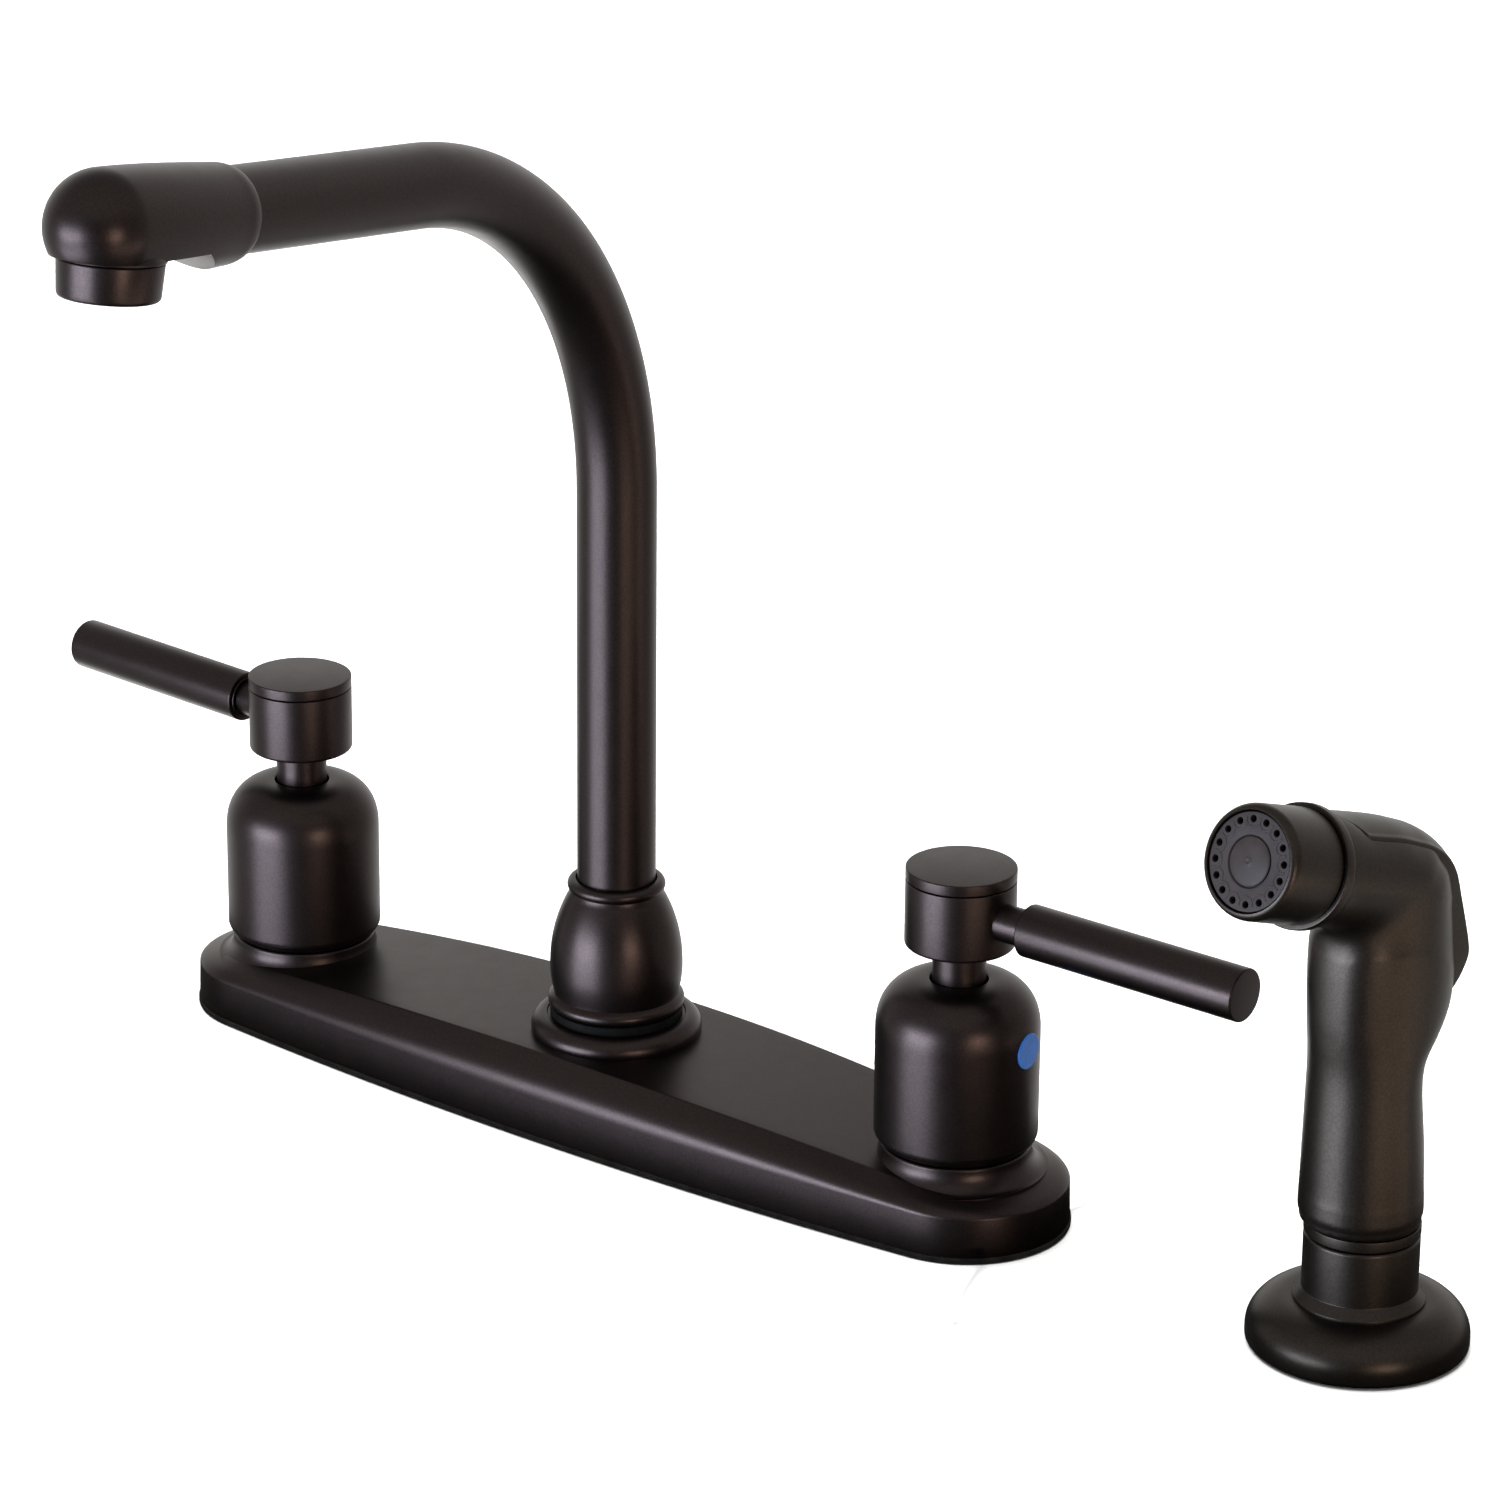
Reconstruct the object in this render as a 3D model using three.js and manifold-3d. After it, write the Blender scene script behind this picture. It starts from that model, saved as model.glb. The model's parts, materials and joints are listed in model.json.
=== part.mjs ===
// Two handle kitchen faucet on a long deck plate, with a swivelling spout and a side sprayer.
// Millimetres, +Z up. The origin is on the deck surface, under the spout's swivel axis. The user
// stands on the -Y side, hot is on -X, cold on +X, and the sprayer stands past the cold handle.
import * as THREE from 'three';
import { mergeVertices } from 'three/addons/utils/BufferGeometryUtils.js';
import Module from 'manifold-3d';

const wasm = await Module();
wasm.setup();

// ---------- clearances ----------
const runGap = 0.3; // between pieces that turn or slide on each other
const fitGap = 0.3; // between a piece and the hole, socket or thread that it is set in
const seatGap = 0.3; // between stacked faces inside the groups that stand turned

// ---------- deck plate and its gasket ----------
const handleSpacing = 203.2; // hot axis to cold axis, 8 in
const plateHalfDepth = 30.1; // at the middle of the bowed front and back
const plateEndRadius = 25.05;
const plateEndShift = 2.6; // end round's centre past the handle axis
const plateWallTop = 10.6; // where the near-vertical wall turns into the shoulder
const plateTopHeight = 20.1; // at the spout axis
const plateCrownRadius = 1100; // the top falls away towards both ends
const plateTopInset = 6.6; // from the foot's outline to the edge of the top
const plateWall = 2.6; // casting thickness
const gasketThickness = 1.3;
const gasketProud = 0.3; // past the plate's foot, all round
const gasketHoleGap = 1.2;

// ---------- bosses on the plate ----------
const handleBossRadius = 17.8;
const handleBossTop = 20.6;
const handleBossEdge = 0.6;
const handleFlareReach = 3.9;
const handleFlareDrop = 6.2;
const spoutBossRadius = 20.8;
const spoutBossTop = 24.5;
const spoutBossRound = 2.3;
const bossWall = 3;

// ---------- valve bodies, below and inside the bells ----------
const shankRadius = 10.4; // 1/2 in pipe thread on the supply side
const shankBore = 6.6;
const shankLength = 58; // below the deck surface
const collarRadius = 13.9; // the thread that the bell screws on
const collarTop = 36;
const collarFoot = 2.1;
const valveSeatHeight = 3;
const cartridgeRadius = 10.4;
const cartridgeFlange = 12.2;
const cartridgeFlangeHeight = 28.5;
const cartridgeFlangeThickness = 2.5;
const cartridgeTop = 46;
const cartridgeNeckWall = 2.2;
const bonnetHex = 26; // across flats
const bonnetHeight = 5;
const discRadius = 8.3;
const discThickness = 3;
const sealThickness = 2;
const stemRadius = 4;
const stemDrop = 3.2; // from the lever's axis down to the stem's top
const crossoverRadius = 4.8;
const crossoverBore = 3.8;
const crossoverHeight = 8.4;

// ---------- clamping hardware under the deck ----------
const deckThickness = 20; // counter that the nuts are set for
const washerRadius = 21;
const washerThickness = 2;
const locknutRadius = 17;
const locknutHeight = 9;
const locknutWings = 4;
const wingLength = 5;
const wingWidth = 6;

// ---------- bells ----------
const bellRadius = 19.2;
const bellWall = 3.1;
const bellFoot = 22.1; // underside of the round lower edge
const bellFootRound = 3.2;
const bellSeatRadius = 16.4;
const bellShoulder = 47.8; // where the dome starts
const bellDome = 12.5; // dome's height
const bellDomeReach = 11.5; // from the side wall in to the flat top
const bellDomePower = 2.29;
const indexRadius = 4.25;
const indexHeight = 46.5;
const indexDepth = 1.7;
const indexProud = 0.2;
const indexTurn = 4; // degrees from straight outward, towards the back

// ---------- handles ----------
const hubRadius = 12.9;
const hubBelow = 8.3; // from the lever's axis down to the hub's underside
const hubAbove = 8.3; // and up to the cap
const capThickness = 2.5;
const capGroove = 0.4;
const hubEdge = 0.7;
const neckRadius = 6.3;
const neckFoot = 52;
const leverHeight = 77.2;
const leverRodRadius = 4.4;
const leverGripRadius = 6.25;
const leverGripStart = 19.4; // from the handle's axis
const leverTip = 78.4;
const leverEdge = 0.5;
const leverSpigotRadius = 3;
const leverSpigotDepth = 14;
const leverSocketStart = 6.6;
const hotLeverYaw = 3.8; // the hot lever stands a little past straight out
const coldLeverYaw = 0.8;
const screwHeadRadius = 3.5;
const screwRadius = 2;
const screwHeadHeight = 2.6;
const hubWeb = 3; // hub metal that the screw clamps on the stem

// ---------- spout hub and nut ----------
const hubBodyRadius = 12.6;
const hubBodyBore = 9.4;
const hubBodyTop = 37;
const hubWaterFloor = 4;
const nipplePipe = 5; // hose nipple under the hub
const nippleBore = 2.6;
const nippleLength = 34; // below the deck surface
const nippleHex = 17;
const baseRingTop = 26.5;
const baseRingRadius = 16.1;
const nutBeadRadius = 16.4;
const nutBeadHalf = 1.7;
const nutBulbRadius = 15.7;
const nutBulbHeight = 37; // height of the widest ring
const nutNeckRadius = 10.9;
const nutNeckHeight = 56.4;
const nutTopBeadRadius = 11.65;
const nutTop = 59.2;

// ---------- spout ----------
const spoutTurn = 5; // degrees from straight forward, towards the cold side
const tubeRadius = 9.5;
const tubeWall = 1.2;
const tubeFoot = 42.6;
const bendStart = 157.45;
const bendRadius = 92.75;
const armRise = 8.35; // degrees above level
const headStart = 69; // along the arm from the bend's end
const headEndRadius = 10.7;
const headEndRound = 2.2;
const headNeckRadius = 11.3; // just past the rounded end
const headDomeRadius = 12.4;
const headDomeCentre = 109.75; // along the arm from the bend's end
const headSocketDepth = 22; // how far the tube reaches into the head
const outletCentre = 106.4; // along the arm from the bend's end
const outletFace = 6.1; // from the arm's axis to the flat underside
const outletLipRadius = 11.65;
const outletLipHeight = 0.5;
const reliefEnd = 20.5; // flat underside, back from the outlet's axis
const reliefSlope = 60; // degrees from square across the arm
const aeratorRadius = 11.35;
const aeratorFootRadius = 10.85;
const aeratorHeight = 8.1;
const aeratorBore = 8.6;
const aeratorThreadRadius = 9.3;
const aeratorThreadHeight = 3.6;
const aeratorEdge = 1.1;
const insertHeight = 5.5;
const collarFlangeRadius = 11.6;
const collarFlangeThickness = 3;
const collarPlugLength = 17;
const collarBore = 7;
const ringSection = 2.4; // height of an O-ring groove
const ringGrooveDepth = 1.6;
const ringPitch = 7;
const bushingHeight = 3.4;

// ---------- side sprayer holder ----------
const sprayerX = 210.0;
const sprayerY = 3.8; // a little behind the line of the handles
const sprayerTurn = -8; // degrees from straight forward, towards the hot side
const flangeRadius = 25.15;
const flangeWidest = 3; // height of the widest ring
const flangeTop = 11.0;
const flangeWall = 3;
const holderFootRadius = 14.9;
const holderRadius = 13.05;
const holderConeTop = 13.8;
const holderTop = 27.0;
const holderBore = 11.3;
const holderEdge = 0.9;
const holderShankRadius = 13.6;
const holderShankLength = 34; // below the deck surface
const sprayNutRadius = 19;
const sprayNutHeight = 7;

// ---------- side sprayer ----------
const couplingRadius = 13.1;
const couplingHeight = 2.7;
const couplingShank = 10.8;
const couplingFoot = 6;
const couplingSpigot = 8;
const couplingSpigotLength = 12;
const hoseBore = 3.6;
const nozzleTilt = 18.7; // degrees above level
const nozzleReach = 44.4; // face centre, forward of the sprayer's axis
const nozzleHeight = 127.5; // face centre
const capLength = 16.6;
const capRadius = 12.7;
const capRearRadius = 12.8;
const capFaceRadius = 11.05;
const capStep = 2;
const capWall = 0.9;
const capEdge = 2.2;
const faceRecess = 0.5;
const faceThickness = 3.4;
const faceHoles = 16;
const faceHoleRadius = 0.85;
const faceHoleCircle = 9.16;
const faceDiscRadius = 5.36;
const faceDiscRise = 0.4;
const lipRadius = 13.8;
const lipLength = 2.6;
const lipGroove = 0.4;
const barrelRadius = 13.15;
const barrelEnd = 47; // from the face to the centre of the rounded back end
const noseBore = 6;
const noseBoreDepth = 22; // from the face
const waterBore = 3.6; // up the handle, as far as the valve
const waterBoreDrop = 43.5; // its top, below the nozzle's height
const upperBore = 2.8; // from the valve up to the nozzle
const upperBoreY = -7;
const upperBoreLow = 37.5; // its ends, below the nozzle's height
const upperBoreHigh = 23.5;
const crossBore = 1.6; // between the water way and the valve, below and above it

// ---------- trigger ----------
const triggerPivotY = -10;
const triggerPivotDrop = 6.2; // below the nozzle's height
const triggerHalfWidth = 9.0;
const triggerNoseHalf = 1.4;
const triggerNoseY = -20.4; // where the narrow nose starts to widen
const triggerShoulderY = -14.6; // where it reaches its full width
const triggerTravel = 5; // degrees
const pinRadius = 1.25;
const pinLength = 22;
const plungerY = 5;
const plungerRadius = 2;
const plungerHeadRadius = 2.6;
const plungerHeadHeight = 1.6;
const plungerLength = 20;
const springRadius = 2.9;
const springWire = 0.35;
const springCurls = 5;
const springLength = 8;

// ---------- derived places ----------
const handleX = handleSpacing / 2;
const plateEndX = handleX + plateEndShift;
const bendEndZ = bendStart + bendRadius * Math.cos(rad(armRise));
const bendEndR = bendRadius * (1 - Math.sin(rad(armRise)));
const cartridgeBottom = valveSeatHeight + sealThickness;
const stemFootBottom = cartridgeBottom + 2 * discThickness + 2 * runGap;
const stemFootHeight = 3;
const stemBore = stemRadius + runGap;
const valveBore = cartridgeRadius + fitGap;
const counterbore = cartridgeFlange + fitGap;
const bonnetTop = collarTop + bonnetHeight;
const bellTop = bellShoulder + bellDome;
const hubFoot = leverHeight - hubBelow;
const capFoot = leverHeight + hubAbove;
const hubTop = capFoot + capThickness;
const stemTop = leverHeight - stemDrop;
const couplingTop = holderTop + runGap + couplingHeight;
const handsetFoot = couplingTop + runGap;
const nutSkirt = hubBodyRadius + fitGap;
const handleReach = nozzleHeight - handsetFoot;
const waterBoreTop = nozzleHeight - waterBoreDrop;
const upperBoreFoot = nozzleHeight - upperBoreLow;
const upperBoreTop = nozzleHeight - upperBoreHigh;
const triggerPivotZ = nozzleHeight - triggerPivotDrop;
const plateBoreAtHandle = collarRadius + fitGap;
const collarFlangeFoot = tubeFoot - seatGap - collarFlangeThickness;

function rad(degrees) {
  return degrees * Math.PI / 180;
}

// ---------- shape helpers ----------

// Facets round a circle: finer on the large outer forms.
function around(radius) {
  return radius > 12 ? 20 : radius > 7 ? 16 : radius > 3 ? 12 : 8;
}

// One clean closed mesh: shared corners merged, slivers gone, faces pointing out.
function closed(geometry) {
  const bare = new THREE.BufferGeometry();
  bare.setAttribute('position', geometry.getAttribute('position').clone());
  if (geometry.index) bare.setIndex(geometry.index.clone());
  const merged = mergeVertices(bare, 1e-4);
  const position = merged.getAttribute('position');
  const kept = [];
  let volume = 0;
  const [a, b, c] = [new THREE.Vector3(), new THREE.Vector3(), new THREE.Vector3()];
  for (let i = 0; i < merged.index.count; i += 3) {
    const corners = [0, 1, 2].map((k) => merged.index.getX(i + k));
    if (new Set(corners).size < 3) continue;
    kept.push(...corners);
    a.fromBufferAttribute(position, corners[0]);
    b.fromBufferAttribute(position, corners[1]);
    c.fromBufferAttribute(position, corners[2]);
    volume += a.dot(b.cross(c));
  }
  if (volume < 0) {
    for (let i = 0; i < kept.length; i += 3) [kept[i + 1], kept[i + 2]] = [kept[i + 2], kept[i + 1]];
  }
  merged.setIndex(kept);
  return merged;
}

function toSolid(geometry) {
  const clean = closed(geometry);
  return new wasm.Manifold(new wasm.Mesh({
    numProp: 3,
    vertProperties: new Float32Array(clean.getAttribute('position').array),
    triVerts: new Uint32Array(clean.index.array),
  }));
}

function fromSolid(solid) {
  const mesh = solid.getMesh();
  const geometry = new THREE.BufferGeometry();
  const positions = new Float32Array(mesh.numVert * 3);
  for (let i = 0; i < mesh.numVert; i += 1) {
    for (let k = 0; k < 3; k += 1) positions[3 * i + k] = mesh.vertProperties[mesh.numProp * i + k];
  }
  geometry.setAttribute('position', new THREE.BufferAttribute(positions, 3));
  geometry.setIndex([...mesh.triVerts]);
  return geometry;
}

function join(...geometries) {
  return fromSolid(geometries.map(toSolid).reduce((sum, next) => sum.add(next)));
}

function cut(geometry, ...tools) {
  return fromSolid(tools.map(toSolid).reduce((rest, tool) => rest.subtract(tool), toSolid(geometry)));
}

// A profile of [radius, height] points turned round +Z.
function turned(profile) {
  const points = profile.map(([r, z]) => new THREE.Vector2(r, z));
  const widest = Math.max(...profile.map(([r]) => r));
  const geometry = new THREE.LatheGeometry(points, around(widest));
  return closed(geometry.rotateX(Math.PI / 2));
}

// The same for a profile that goes round a bore: it closes on its own first point.
function turnedRing(profile) {
  return turned([...profile, profile[0]]);
}

function rod(radius, low, high) {
  return turned([[0, low], [radius, low], [radius, high], [0, high]]);
}

function sleeve(bore, radius, low, high) {
  return turnedRing([[bore, low], [radius, low], [radius, high], [bore, high]]);
}

// Points of an arc in a profile, ends included, angles in degrees.
function arc(centreR, centreZ, radius, from, to, steps) {
  return Array.from({ length: steps + 1 }, (_, i) => {
    const angle = rad(from + (to - from) * i / steps);
    return [centreR + radius * Math.cos(angle), centreZ + radius * Math.sin(angle)];
  });
}

// A flat outline of [x, y] points raised from low to high along +Z.
function raised(outline, low, high) {
  const shape = new THREE.Shape(outline.map(([x, y]) => new THREE.Vector2(x, y)));
  const geometry = new THREE.ExtrudeGeometry(shape, { depth: high - low, bevelEnabled: false });
  return closed(geometry.translate(0, 0, low));
}

// An outline of [y, z] points, as thick as 2 * half, centred on X = 0.
function sideRaised(outline, half) {
  const geometry = raised(outline, -half, half);
  const toSide = new THREE.Matrix4().makeBasis(
    new THREE.Vector3(0, 1, 0), new THREE.Vector3(0, 0, 1), new THREE.Vector3(1, 0, 0),
  );
  return geometry.applyMatrix4(toSide);
}

function hexagon(acrossFlats) {
  const corner = acrossFlats / Math.sqrt(3);
  return Array.from({ length: 6 }, (_, i) => [
    corner * Math.cos(rad(60 * i)), corner * Math.sin(rad(60 * i)),
  ]);
}

// A copy turned so that its +Z points along the given direction, then moved to a place.
function aimed(geometry, direction, place = [0, 0, 0]) {
  const turn = new THREE.Quaternion().setFromUnitVectors(
    new THREE.Vector3(0, 0, 1), new THREE.Vector3(...direction).normalize(),
  );
  return geometry.clone().applyQuaternion(turn).translate(...place);
}

// Rings of points with equal counts, joined into a closed skin, its ends fanned from their middles.
function lofted(rings) {
  const count = rings[0].length;
  const positions = rings.flat(2);
  const middle = (ring) => [0, 1, 2].map((k) => ring.reduce((sum, p) => sum + p[k], 0) / count);
  positions.push(...middle(rings[0]), ...middle(rings.at(-1)));
  const first = rings.length * count;
  const index = [];
  for (let i = 0; i < count; i += 1) {
    const j = (i + 1) % count;
    for (let r = 0; r + 1 < rings.length; r += 1) {
      const [low, high] = [r * count, (r + 1) * count];
      index.push(low + i, low + j, high + j, low + i, high + j, high + i);
    }
    const top = (rings.length - 1) * count;
    index.push(first, j, i, first + 1, top + i, top + j);
  }
  const geometry = new THREE.BufferGeometry();
  geometry.setAttribute('position', new THREE.Float32BufferAttribute(positions, 3));
  geometry.setIndex(index);
  return closed(geometry);
}

// ---------- materials ----------
const bronze = { color: 0x1b1513, metalness: 0.85, roughness: 0.42 };
const brass = { color: 0xb08d4c, metalness: 0.9, roughness: 0.35 };
const darkPlastic = { color: 0x26221e, metalness: 0.1, roughness: 0.5 };
const facePlastic = { color: 0x2f292a, metalness: 0, roughness: 0.55 };
const blackRubber = { color: 0x0c0c0c, metalness: 0, roughness: 0.8 };
const blackPlastic = { color: 0x141414, metalness: 0, roughness: 0.6 };
const whitePlastic = { color: 0xdedcd4, metalness: 0, roughness: 0.5 };
const ceramic = { color: 0xf0ede6, metalness: 0, roughness: 0.2 };
const steel = { color: 0xa8a9ab, metalness: 0.95, roughness: 0.3 };
const coldBlue = { color: 0x2f62ab, metalness: 0, roughness: 0.5 };
const hotRed = { color: 0xb3262b, metalness: 0, roughness: 0.5 };

function part(name, geometry, look) {
  geometry.computeVertexNormals();
  const mesh = new THREE.Mesh(geometry, new THREE.MeshStandardMaterial(look));
  mesh.name = name;
  return mesh;
}

// ---------- deck plate ----------

function plateTopAt(x) {
  return plateTopHeight - plateCrownRadius + Math.sqrt(plateCrownRadius ** 2 - x ** 2);
}

// The plate's outline, inset from the foot: a front bow, two end rounds and a back bow, with
// each point on the front paired with its mirror on the back. zAt gives the height over each x.
function plateRing(inset, zAt) {
  const drop = plateHalfDepth - plateEndRadius;
  const bowCentre = (plateEndX ** 2 - drop ** 2) / (2 * drop);
  const bow = plateHalfDepth + bowCentre - inset;
  const meet = Math.atan2(plateEndX, bowCentre);
  const bowSteps = 12;
  const endSteps = 5;
  const front = [];
  for (let i = 0; i < endSteps; i += 1) {
    const angle = Math.PI + (Math.PI / 2 - meet) * i / endSteps;
    front.push([-plateEndX + (plateEndRadius - inset) * Math.cos(angle),
      (plateEndRadius - inset) * Math.sin(angle)]);
  }
  for (let i = 0; i <= bowSteps; i += 1) {
    const angle = meet * (2 * i / bowSteps - 1);
    front.push([bow * Math.sin(angle), bowCentre - bow * Math.cos(angle)]);
  }
  for (let i = endSteps - 1; i >= 0; i -= 1) {
    const [x, y] = front[i];
    front.push([-x, y]);
  }
  const back = front.slice(1, -1).reverse().map(([x, y]) => [x, -y]);
  return [...front, ...back].map(([x, y]) => [x, y, zAt(x)]);
}

// Rings joined into a skin; both ends are closed by strips between the front and the back.
function plateSkin(rings) {
  const count = rings[0].length;
  const half = count / 2;
  const index = [];
  for (let r = 0; r + 1 < rings.length; r += 1) {
    for (let i = 0; i < count; i += 1) {
      const j = (i + 1) % count;
      const [low, high] = [r * count, (r + 1) * count];
      index.push(low + i, low + j, high + j, low + i, high + j, high + i);
    }
  }
  const top = (rings.length - 1) * count;
  const mirror = (i) => (count - i) % count;
  for (let i = 0; i < half; i += 1) {
    const [a, b, c, d] = [i, i + 1, mirror(i + 1), mirror(i)];
    index.push(top + a, top + b, top + c, top + a, top + c, top + d);
    index.push(b, a, c, c, a, d);
  }
  const geometry = new THREE.BufferGeometry();
  geometry.setAttribute('position', new THREE.Float32BufferAttribute(rings.flat(2), 3));
  geometry.setIndex(index);
  return closed(geometry);
}

// Inset and share of the rise from wall top to plate top, at each ring of the shoulder.
const shoulder = [[0.5, 0], [0.9, 0.16], [1.7, 0.31], [plateTopInset - 0.5, 0.97], [plateTopInset, 1]];

function plateRise(share, below = 0) {
  return (x) => plateWallTop + (plateTopAt(x) - plateWallTop) * share - below;
}

function plateOuter() {
  return plateSkin([
    plateRing(0, () => gasketThickness),
    ...shoulder.map(([inset, share]) => plateRing(inset, plateRise(share))),
  ]);
}

function plateHollow() {
  return plateSkin([
    plateRing(plateWall, () => -1),
    plateRing(plateWall + 0.5, () => plateWallTop - plateWall),
    plateRing(plateWall + plateTopInset, plateRise(1, plateWall)),
  ]);
}

function handleBoss() {
  const steps = 4;
  const flare = Array.from({ length: steps + 1 }, (_, i) => {
    const angle = rad(90 * (steps - i) / steps);
    return [
      handleBossRadius + handleFlareReach * (1 - Math.cos(angle)),
      handleBossTop - handleBossEdge - handleFlareDrop * Math.sin(angle),
    ];
  });
  const column = collarRadius + fitGap + bossWall;
  return turned([
    [0, collarFoot], [column, collarFoot], [column, plateWallTop],
    [handleBossRadius + handleFlareReach, plateWallTop], ...flare,
    [handleBossRadius - handleBossEdge, handleBossTop], [0, handleBossTop],
  ]);
}

function spoutBoss() {
  return turned([
    [0, collarFoot], [hubBodyRadius + fitGap + bossWall, collarFoot],
    [hubBodyRadius + fitGap + bossWall, plateWallTop], [spoutBossRadius, plateWallTop],
    ...arc(spoutBossRadius - spoutBossRound, spoutBossTop - spoutBossRound, spoutBossRound, 0, 110, 4),
    [baseRingRadius + 0.4, spoutBossTop - 0.3], [0, spoutBossTop - 0.3],
  ]);
}

function deckPlate() {
  const sides = [-handleX, handleX];
  const shell = cut(plateOuter(), plateHollow());
  const bossed = join(shell, spoutBoss(), ...sides.map((x) => handleBoss().translate(x, 0, 0)));
  const holes = sides.map((x) => rod(plateBoreAtHandle, -1, handleBossTop + 1).translate(x, 0, 0));
  const channel = aimed(rod(crossoverRadius + fitGap, -handleX, handleX), [1, 0, 0],
    [0, 0, crossoverHeight]);
  return part('deck_plate',
    cut(bossed, rod(hubBodyRadius + fitGap, -1, spoutBossTop + 1), ...holes, channel), bronze);
}

function deckGasket() {
  const outline = plateRing(-gasketProud, () => 0).map(([x, y]) => new THREE.Vector2(x, y));
  const shape = new THREE.Shape(outline);
  const openings = [[-handleX, shankRadius], [handleX, shankRadius], [0, nippleHex / Math.sqrt(3)]];
  openings.forEach(([x, radius]) => {
    const hole = new THREE.Path();
    hole.absarc(x, 0, radius + gasketHoleGap, 0, 2 * Math.PI, true);
    shape.holes.push(hole);
  });
  const geometry = new THREE.ExtrudeGeometry(shape,
    { depth: gasketThickness, bevelEnabled: false, curveSegments: 12 });
  return part('deck_gasket', closed(geometry), blackRubber);
}

// ---------- one side's valve, from the shank up to the bell ----------

function valveShell() {
  return turnedRing([
    [shankBore, -shankLength], [shankRadius - 0.8, -shankLength], [shankRadius, -shankLength + 0.8],
    [shankRadius, collarFoot], [collarRadius, collarFoot], [collarRadius, collarTop],
    [counterbore, collarTop], [counterbore, cartridgeFlangeHeight],
    [valveBore, cartridgeFlangeHeight], [valveBore, valveSeatHeight], [shankBore, valveSeatHeight],
  ]);
}

// The port that the crossover tube is brazed in faces the spout.
function valve(side, x) {
  const group = new THREE.Group();
  const port = aimed(rod(crossoverRadius + fitGap, valveBore - 1, collarRadius + 1),
    [-Math.sign(x), 0, 0], [0, 0, crossoverHeight]);
  group.add(part(`${side}_valve_body`, cut(valveShell(), port), brass));
  group.add(part(`${side}_seat_seal`,
    sleeve(discRadius / 2, discRadius, valveSeatHeight, cartridgeBottom), blackRubber));
  group.add(part(`${side}_fixed_disc`, disc(cartridgeBottom), ceramic));
  group.add(part(`${side}_cartridge_body`, cartridge(), whitePlastic));
  group.add(part(`${side}_bonnet_nut`, bonnetNut(), brass));
  group.add(part(`${side}_shank_washer`,
    sleeve(shankRadius + fitGap, washerRadius, -deckThickness - washerThickness, -deckThickness), steel));
  group.add(part(`${side}_locknut`, locknut(), brass));
  group.add(bell(side, x));
  group.position.x = x;
  return group;
}

// A ceramic disc with two ports.
function disc(low) {
  const shape = new THREE.Shape();
  shape.absarc(0, 0, discRadius, 0, 2 * Math.PI, false);
  [-1, 1].forEach((sign) => {
    const hole = new THREE.Path();
    hole.absarc(sign * discRadius * 0.55, 0, discRadius * 0.27, 0, 2 * Math.PI, true);
    shape.holes.push(hole);
  });
  const geometry = new THREE.ExtrudeGeometry(shape,
    { depth: discThickness, bevelEnabled: false, curveSegments: 7 });
  return closed(geometry.translate(0, 0, low));
}

function cartridge() {
  const chamber = discRadius + fitGap;
  const chamberTop = stemFootBottom + stemFootHeight + runGap;
  const neck = stemBore + cartridgeNeckWall;
  const flangeTopZ = cartridgeFlangeHeight + cartridgeFlangeThickness;
  const body = turnedRing([
    [chamber, cartridgeBottom], [cartridgeRadius, cartridgeBottom],
    [cartridgeRadius, cartridgeFlangeHeight], [cartridgeFlange, cartridgeFlangeHeight],
    [cartridgeFlange, flangeTopZ], [neck, flangeTopZ], [neck, cartridgeTop],
    [stemBore, cartridgeTop], [stemBore, chamberTop], [chamber, chamberTop],
  ]);
  const windowLow = cartridgeBottom + discThickness;
  const windowWide = 5;
  const outlet = new THREE.BoxGeometry(4 * cartridgeRadius, windowWide, discThickness)
    .translate(0, 0, windowLow + discThickness / 2);
  return cut(body, outlet);
}

function bonnetNut() {
  const foot = cartridgeFlangeHeight + cartridgeFlangeThickness;
  const bore = stemBore + cartridgeNeckWall + fitGap;
  return cut(
    join(rod(cartridgeFlange, foot, collarTop + 0.5), raised(hexagon(bonnetHex), collarTop, bonnetTop)),
    rod(bore, foot - 1, bonnetTop + 1),
  );
}

// A ring nut with turning wings, drawn up under the washer.
function locknut() {
  const top = -deckThickness - washerThickness;
  const ring = rod(locknutRadius, top - locknutHeight, top);
  const wings = Array.from({ length: locknutWings }, (_, i) => new THREE.BoxGeometry(
    wingLength + 2, wingWidth, locknutHeight - 1,
  ).translate(locknutRadius + wingLength / 2 - 1, 0, top - locknutHeight / 2)
    .rotateZ(2 * Math.PI * i / locknutWings));
  return cut(join(ring, ...wings), rod(shankRadius + fitGap, top - locknutHeight - 1, top + 1));
}

function domeRadius(share) {
  return bellDomeReach * (1 - share ** bellDomePower) ** (1 / bellDomePower);
}

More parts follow.
